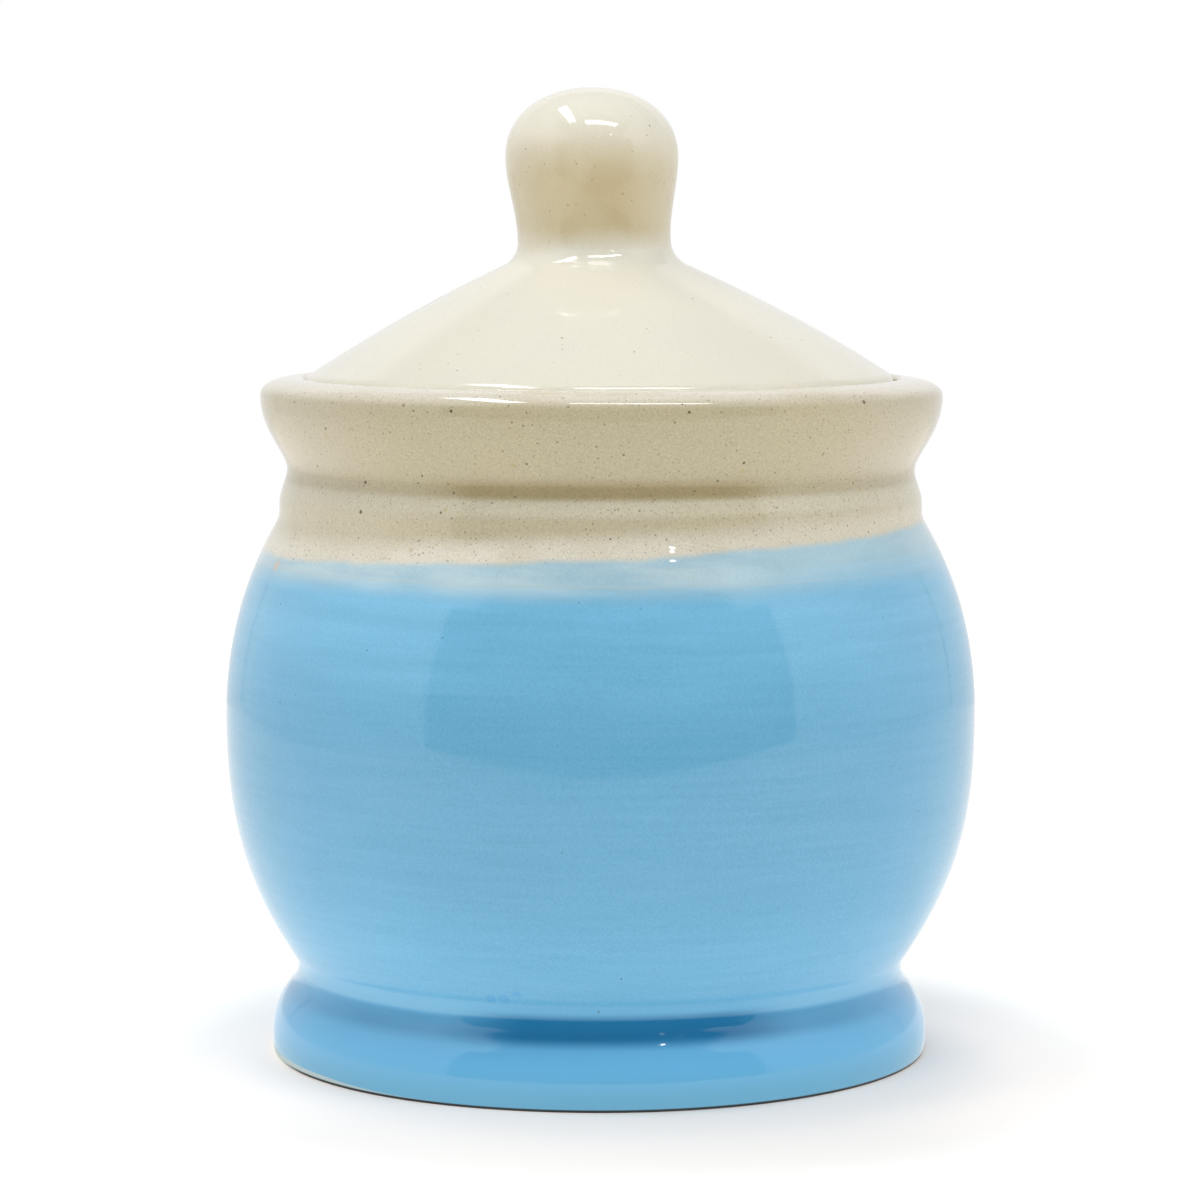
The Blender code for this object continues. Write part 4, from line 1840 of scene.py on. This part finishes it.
@dataclass(frozen=True)
class Tent:
    """The light tent that the glaze mirrors: a white box, open at the front below a curved flap.

    flap_reach, ceiling_start and seam_core are shares of the depth to the front, the height and the
    seam's width.
    """

    left: float = -0.37
    right: float = 0.48
    front: float = -0.305
    back: float = 0.39
    height: float = 0.47
    flap_middle: float = 0.268
    flap_curve: float = 0.56
    columns: int = 24
    front_level: float = 0.80
    back_level: float = 0.90
    flap_level: float = 0.10
    flap_reach: float = 0.4
    dim_left: float = -0.27
    dim_right: float = 0.31
    dim_soft: float = 0.03
    upper_gain: float = 0.6
    upper_power: float = 1.8
    upper_fade: Span = (-0.02, 0.12)
    ceiling_start: float = 0.8
    ceiling_level: float = 0.55
    seam_width: float = 0.012
    seam_core: float = 0.3
    seam_depth: float = 0.45

    def flap(self, x: float) -> float:
        """Height of the flap's lower edge."""
        return self.flap_middle + self.flap_curve * x * x

    def put_up(self) -> None:
        """Puts up the tent, which shows only in reflections."""
        mesh = bpy.data.meshes.new("tent")
        mesh.from_pydata(*self.sheets())
        mesh.materials.append(self.cloth())
        tent = bpy.data.objects.new("tent", mesh)
        bpy.context.scene.collection.objects.link(tent)
        tent.visible_camera = False
        tent.visible_diffuse = False
        tent.visible_transmission = False
        tent.visible_volume_scatter = False
        tent.visible_shadow = False

    def sheets(self) -> tuple[list[Place], list, list[tuple[int, ...]]]:
        """The cloth of two sides, back, ceiling and flap.

        Returns:
            Its points, no edges, and its faces.
        """
        low = [(self.left, self.front, 0.0), (self.right, self.front, 0.0)]
        low += [(self.right, self.back, 0.0), (self.left, self.back, 0.0)]
        points = low + [(x, y, self.height) for x, y, _ in low]
        faces: list[tuple[int, ...]] = [(0, 3, 7, 4), (1, 2, 6, 5), (3, 2, 6, 7), (4, 5, 6, 7)]
        first = len(points)
        for index in range(self.columns + 1):
            x = self.left + (self.right - self.left) * index / self.columns
            points += [(x, self.front, self.flap(x)), (x, self.front, self.height)]
        for index in range(self.columns):
            base = first + 2 * index
            faces.append((base, base + 2, base + 3, base + 1))
        return points, [], faces

    def cloth(self) -> bpy.types.Material:
        """The lit cloth: dim in the middle of the flap, brighter aside and behind, with seams at the back.

        Returns:
            The material.
        """
        material, bench = Bench.of_material("tent_cloth")
        material.cycles.emission_sampling = "NONE"
        x, y, z = bench.split(bench.node("ShaderNodeTexCoord").outputs["Object"])
        left = bench.fall(x, (self.dim_left - self.dim_soft, self.dim_left + self.dim_soft))
        right = bench.rise(x, (self.dim_right - self.dim_soft, self.dim_right + self.dim_soft))
        aside = bench.plus(left, right)
        near = bench.fall(y, (self.flap_reach * self.front, 0.0))
        dim = bench.times(near, bench.minus(1.0, aside))
        level = bench.rise(y, (self.front, self.back), self.front_level, self.back_level)
        level = bench.times(level, bench.fall(dim, WHOLE, self.flap_level / self.front_level))
        level = bench.times(level, self.ceiling_shade(bench, z))
        raised = bench.math("DIVIDE", bench.math("MAXIMUM", z, 0.0), self.height)
        upper = bench.math("POWER", raised, self.upper_power)
        gain = bench.times(aside, bench.fall(y, self.upper_fade), self.upper_gain)
        level = bench.math("MULTIPLY_ADD", upper, gain, level)
        behind = bench.unsigned(bench.minus(y, self.back))
        for corner in (self.left, self.right):
            off = bench.plus(bench.unsigned(bench.minus(x, corner)), behind)
            core = (self.seam_core * self.seam_width, self.seam_width)
            level = bench.times(level, bench.rise(off, core, 1.0 - self.seam_depth, 1.0))
        glow = bench.node("ShaderNodeEmission")
        bench.feed(glow.inputs["Strength"], level)
        bench.end(glow)
        return material

    def ceiling_shade(self, bench: Bench, z: Socket) -> Socket:
        """How the cloth dims towards the ceiling."""
        return bench.fall(z, (self.ceiling_start * self.height, self.height), self.ceiling_level)


@dataclass(frozen=True)
class TentLight:
    """The soft light in the tent, from its walls and its open front. Angles are in degrees from the front."""

    opening_left: float = -52.7
    opening_right: float = 63.0
    opening_top: float = 38.0
    soft: float = 5.0
    wall: float = 0.55
    opening: float = 0.62
    dark: float = 0.02

    def shine(self) -> None:
        """Makes the world: white to the camera, soft light to dull surfaces, dark beyond the opening."""
        world = bpy.data.worlds.new("tent_light")
        world.use_nodes = True
        bpy.context.scene.world = world
        bench = Bench(world.node_tree)
        path = bench.node("ShaderNodeLightPath")
        level = bench.rise(self.opening_share(bench), WHOLE, self.wall, self.opening)
        change = bench.times(bench.minus(self.dark, level), path.outputs["Is Glossy Ray"])
        soft = bench.node("ShaderNodeBackground")
        bench.feed(soft.inputs["Color"], WHITE)
        bench.feed(soft.inputs["Strength"], bench.plus(level, change))
        white = bench.node("ShaderNodeBackground")
        bench.feed(white.inputs["Color"], WHITE)
        bench.feed(white.inputs["Strength"], 1.0)
        seen = bench.math("MAXIMUM", path.outputs["Is Camera Ray"], path.outputs["Is Transmission Ray"])
        mixed = bench.fed("ShaderNodeMixShader", (seen, soft.outputs[0], white.outputs[0]))
        bench.end(mixed, "ShaderNodeOutputWorld")

    def around(self, angle: float) -> Span:
        """The soft span about an angle."""
        return (angle - self.soft, angle + self.soft)

    def opening_share(self, bench: Bench) -> Socket:
        """How much of each direction is the open front.

        Args:
            bench: Where the nodes are laid out.

        Returns:
            The share's socket.
        """
        x, y, z = bench.split(bench.node("ShaderNodeTexCoord").outputs["Generated"])
        azimuth = bench.math("DEGREES", bench.math("ARCTAN2", x, bench.times(y, -1.0)))
        rise = bench.math("DEGREES", bench.math("ARCSINE", z))
        left = bench.rise(azimuth, self.around(self.opening_left))
        right = bench.fall(azimuth, self.around(self.opening_right))
        return bench.times(left, right, bench.fall(rise, self.around(self.opening_top)))


@dataclass
class Studio:
    """The table, the light tent, its lamps and the camera.

    The bounce is what the table throws back at the pieces. The lifts are what it shows the camera on top
    of its shade, over spans of distance from the middle of the jar's foot, in metres.
    """

    camera_place: Place = (0.0, -0.5536, 0.11344)
    camera_pitch: float = math.radians(5.50)
    camera_lens: float = 124.695
    camera_film: float = 36.0
    camera_clip: float = 0.01
    table_left: float = -0.37
    table_right: float = 0.48
    table_front: float = -0.305
    table_back: float = 0.60
    table_colour: Colour = (0.92, 0.905, 0.88)
    bounce_colour: Colour = (1.0, 0.945, 0.90)
    bounce_aside: float = 0.8
    bounce_span: Span = (-0.20, 0.04)
    front_bounce: float = 0.12
    side_bounce: float = 0.50
    lift_colour: Colour = (1.0, 0.81, 0.71)
    lift_white: Span = (0.045, 0.080)
    lift_aside: float = 0.004
    lift_centre: float = -0.014
    near_span: Span = (0.026, 0.033)
    near_lift: float = 0.205
    side_span: Span = (0.037, 0.054)
    side_turn: Span = (0.5, 1.0)
    front_lift: float = 0.045
    side_lift: float = 0.19
    left_span: Span = (-0.03, 0.0)
    left_less: float = 0.1
    far_span: Span = (0.055, 0.105)
    far_lift: float = 0.45
    tent: Tent = Tent()
    light: TentLight = TentLight()
    panels: tuple[Panel, ...] = (
        Panel("front_panel", (0.070, -0.165, 0.45), 0.235, 0.060, 6.6, (0.070, -0.165, 0.0)),
        Panel("front_sheen", (0.070, -0.165, 0.452), 0.235, 0.060, 5.0, (0.070, -0.165, 0.0), False),
        Panel("left_panel", (-0.135, -0.010, 0.45), 0.050, 0.260, 6.6, (-0.135, -0.010, 0.0)),
        Panel("left_sheen", (-0.135, -0.010, 0.452), 0.050, 0.260, 5.0, (-0.135, -0.010, 0.0), False),
        Panel("spark_lamp", (0.104, -0.190, 0.288), 0.006, 0.006, 45.0),
    )

    def set_camera(self) -> None:
        """Puts the camera where the photograph was taken from."""
        lens = bpy.data.cameras.new("photo_camera")
        lens.lens = self.camera_lens
        lens.sensor_width = self.camera_film
        lens.sensor_fit = "HORIZONTAL"
        lens.clip_start = self.camera_clip
        camera = bpy.data.objects.new("photo_camera", lens)
        camera.location = self.camera_place
        camera.rotation_euler = (math.pi / 2.0 - self.camera_pitch, 0.0, 0.0)
        bpy.context.scene.collection.objects.link(camera)
        bpy.context.scene.camera = camera

    def lay_table(self) -> None:
        """Lays a white table that keeps the shadow and fades into the white round it."""
        corners = [
            (self.table_left, self.table_front, 0.0),
            (self.table_right, self.table_front, 0.0),
            (self.table_right, self.table_back, 0.0),
            (self.table_left, self.table_back, 0.0),
        ]
        mesh = bpy.data.meshes.new("table")
        mesh.from_pydata(corners, [], [(0, 1, 2, 3)])
        mesh.materials.append(self.table_white())
        table = bpy.data.objects.new("table", mesh)
        bpy.context.scene.collection.objects.link(table)

    def table_white(self) -> bpy.types.Material:
        """The table's surface.

        Returns:
            The material.
        """
        material, bench = Bench.of_material("table_white")
        surface = bench.node("ShaderNodeBsdfDiffuse")
        bench.feed(surface.inputs["Color"], self.table_colour)
        x, y, _ = bench.split(bench.node("ShaderNodeTexCoord").outputs["Object"])
        inward = bench.math("MULTIPLY_ADD", bench.unsigned(x), self.bounce_aside, y)
        bounce = bench.rise(inward, self.bounce_span, self.front_bounce, self.side_bounce)
        across = bench.minus(x, self.lift_aside)
        off = bench.joined(across, bench.minus(y, self.lift_centre), 0.0)
        far = bench.vector("LENGTH", off).outputs["Value"]
        seen = bench.node("ShaderNodeLightPath").outputs["Is Camera Ray"]
        shade = bench.blend(bench.rise(far, self.lift_white), self.lift_colour, WHITE)
        hidden = bench.times(bench.minus(1.0, seen), bounce)
        strength = bench.math("MULTIPLY_ADD", self.lift(bench, across, far), seen, hidden)
        glow = bench.node("ShaderNodeEmission")
        bench.feed(glow.inputs["Color"], bench.blend(seen, self.bounce_colour, shade))
        bench.feed(glow.inputs["Strength"], strength)
        bench.end(bench.fed("ShaderNodeAddShader", (surface.outputs[0], glow.outputs[0])))
        return material

    def lift(self, bench: Bench, across: Socket, far: Socket) -> Socket:
        """How much brighter than its shade the table looks: more at the sides and far from the jar.

        Args:
            bench: Where the nodes are laid out.
            across: How far a point lies to the right of the jar's middle, in metres.
            far: Its distance from there, in metres.

        Returns:
            The lift's socket.
        """
        lift = bench.rise(far, self.near_span, 0.0, self.near_lift)
        turn = bench.math("DIVIDE", bench.unsigned(across), far)
        turn = bench.minus(turn, bench.rise(across, self.left_span, self.left_less, 0.0))
        side = bench.rise(turn, self.side_turn, self.front_lift, self.side_lift)
        lift = bench.math("MULTIPLY_ADD", bench.rise(far, self.side_span), side, lift)
        return bench.plus(lift, bench.rise(far, self.far_span, 0.0, self.far_lift))

    def build(self) -> None:
        """Sets up the whole studio."""
        bpy.context.scene.view_settings.view_transform = "Standard"
        self.set_camera()
        self.lay_table()
        self.tent.put_up()
        self.light.shine()
        for panel in self.panels:
            panel.hang()


def main() -> None:
    """Builds the jar, its lid and the studio, in that order."""
    logging.basicConfig(level=logging.INFO, format="%(name)s: %(message)s")
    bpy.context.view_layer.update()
    for part in (JarBody(), Lid()):
        piece = part.build()
        LOG.info("%s: %d faces", piece.name, len(piece.data.polygons))
    Studio().build()
    LOG.info("studio: table, tent, lamps and camera")


if __name__ == "__main__":
    main()
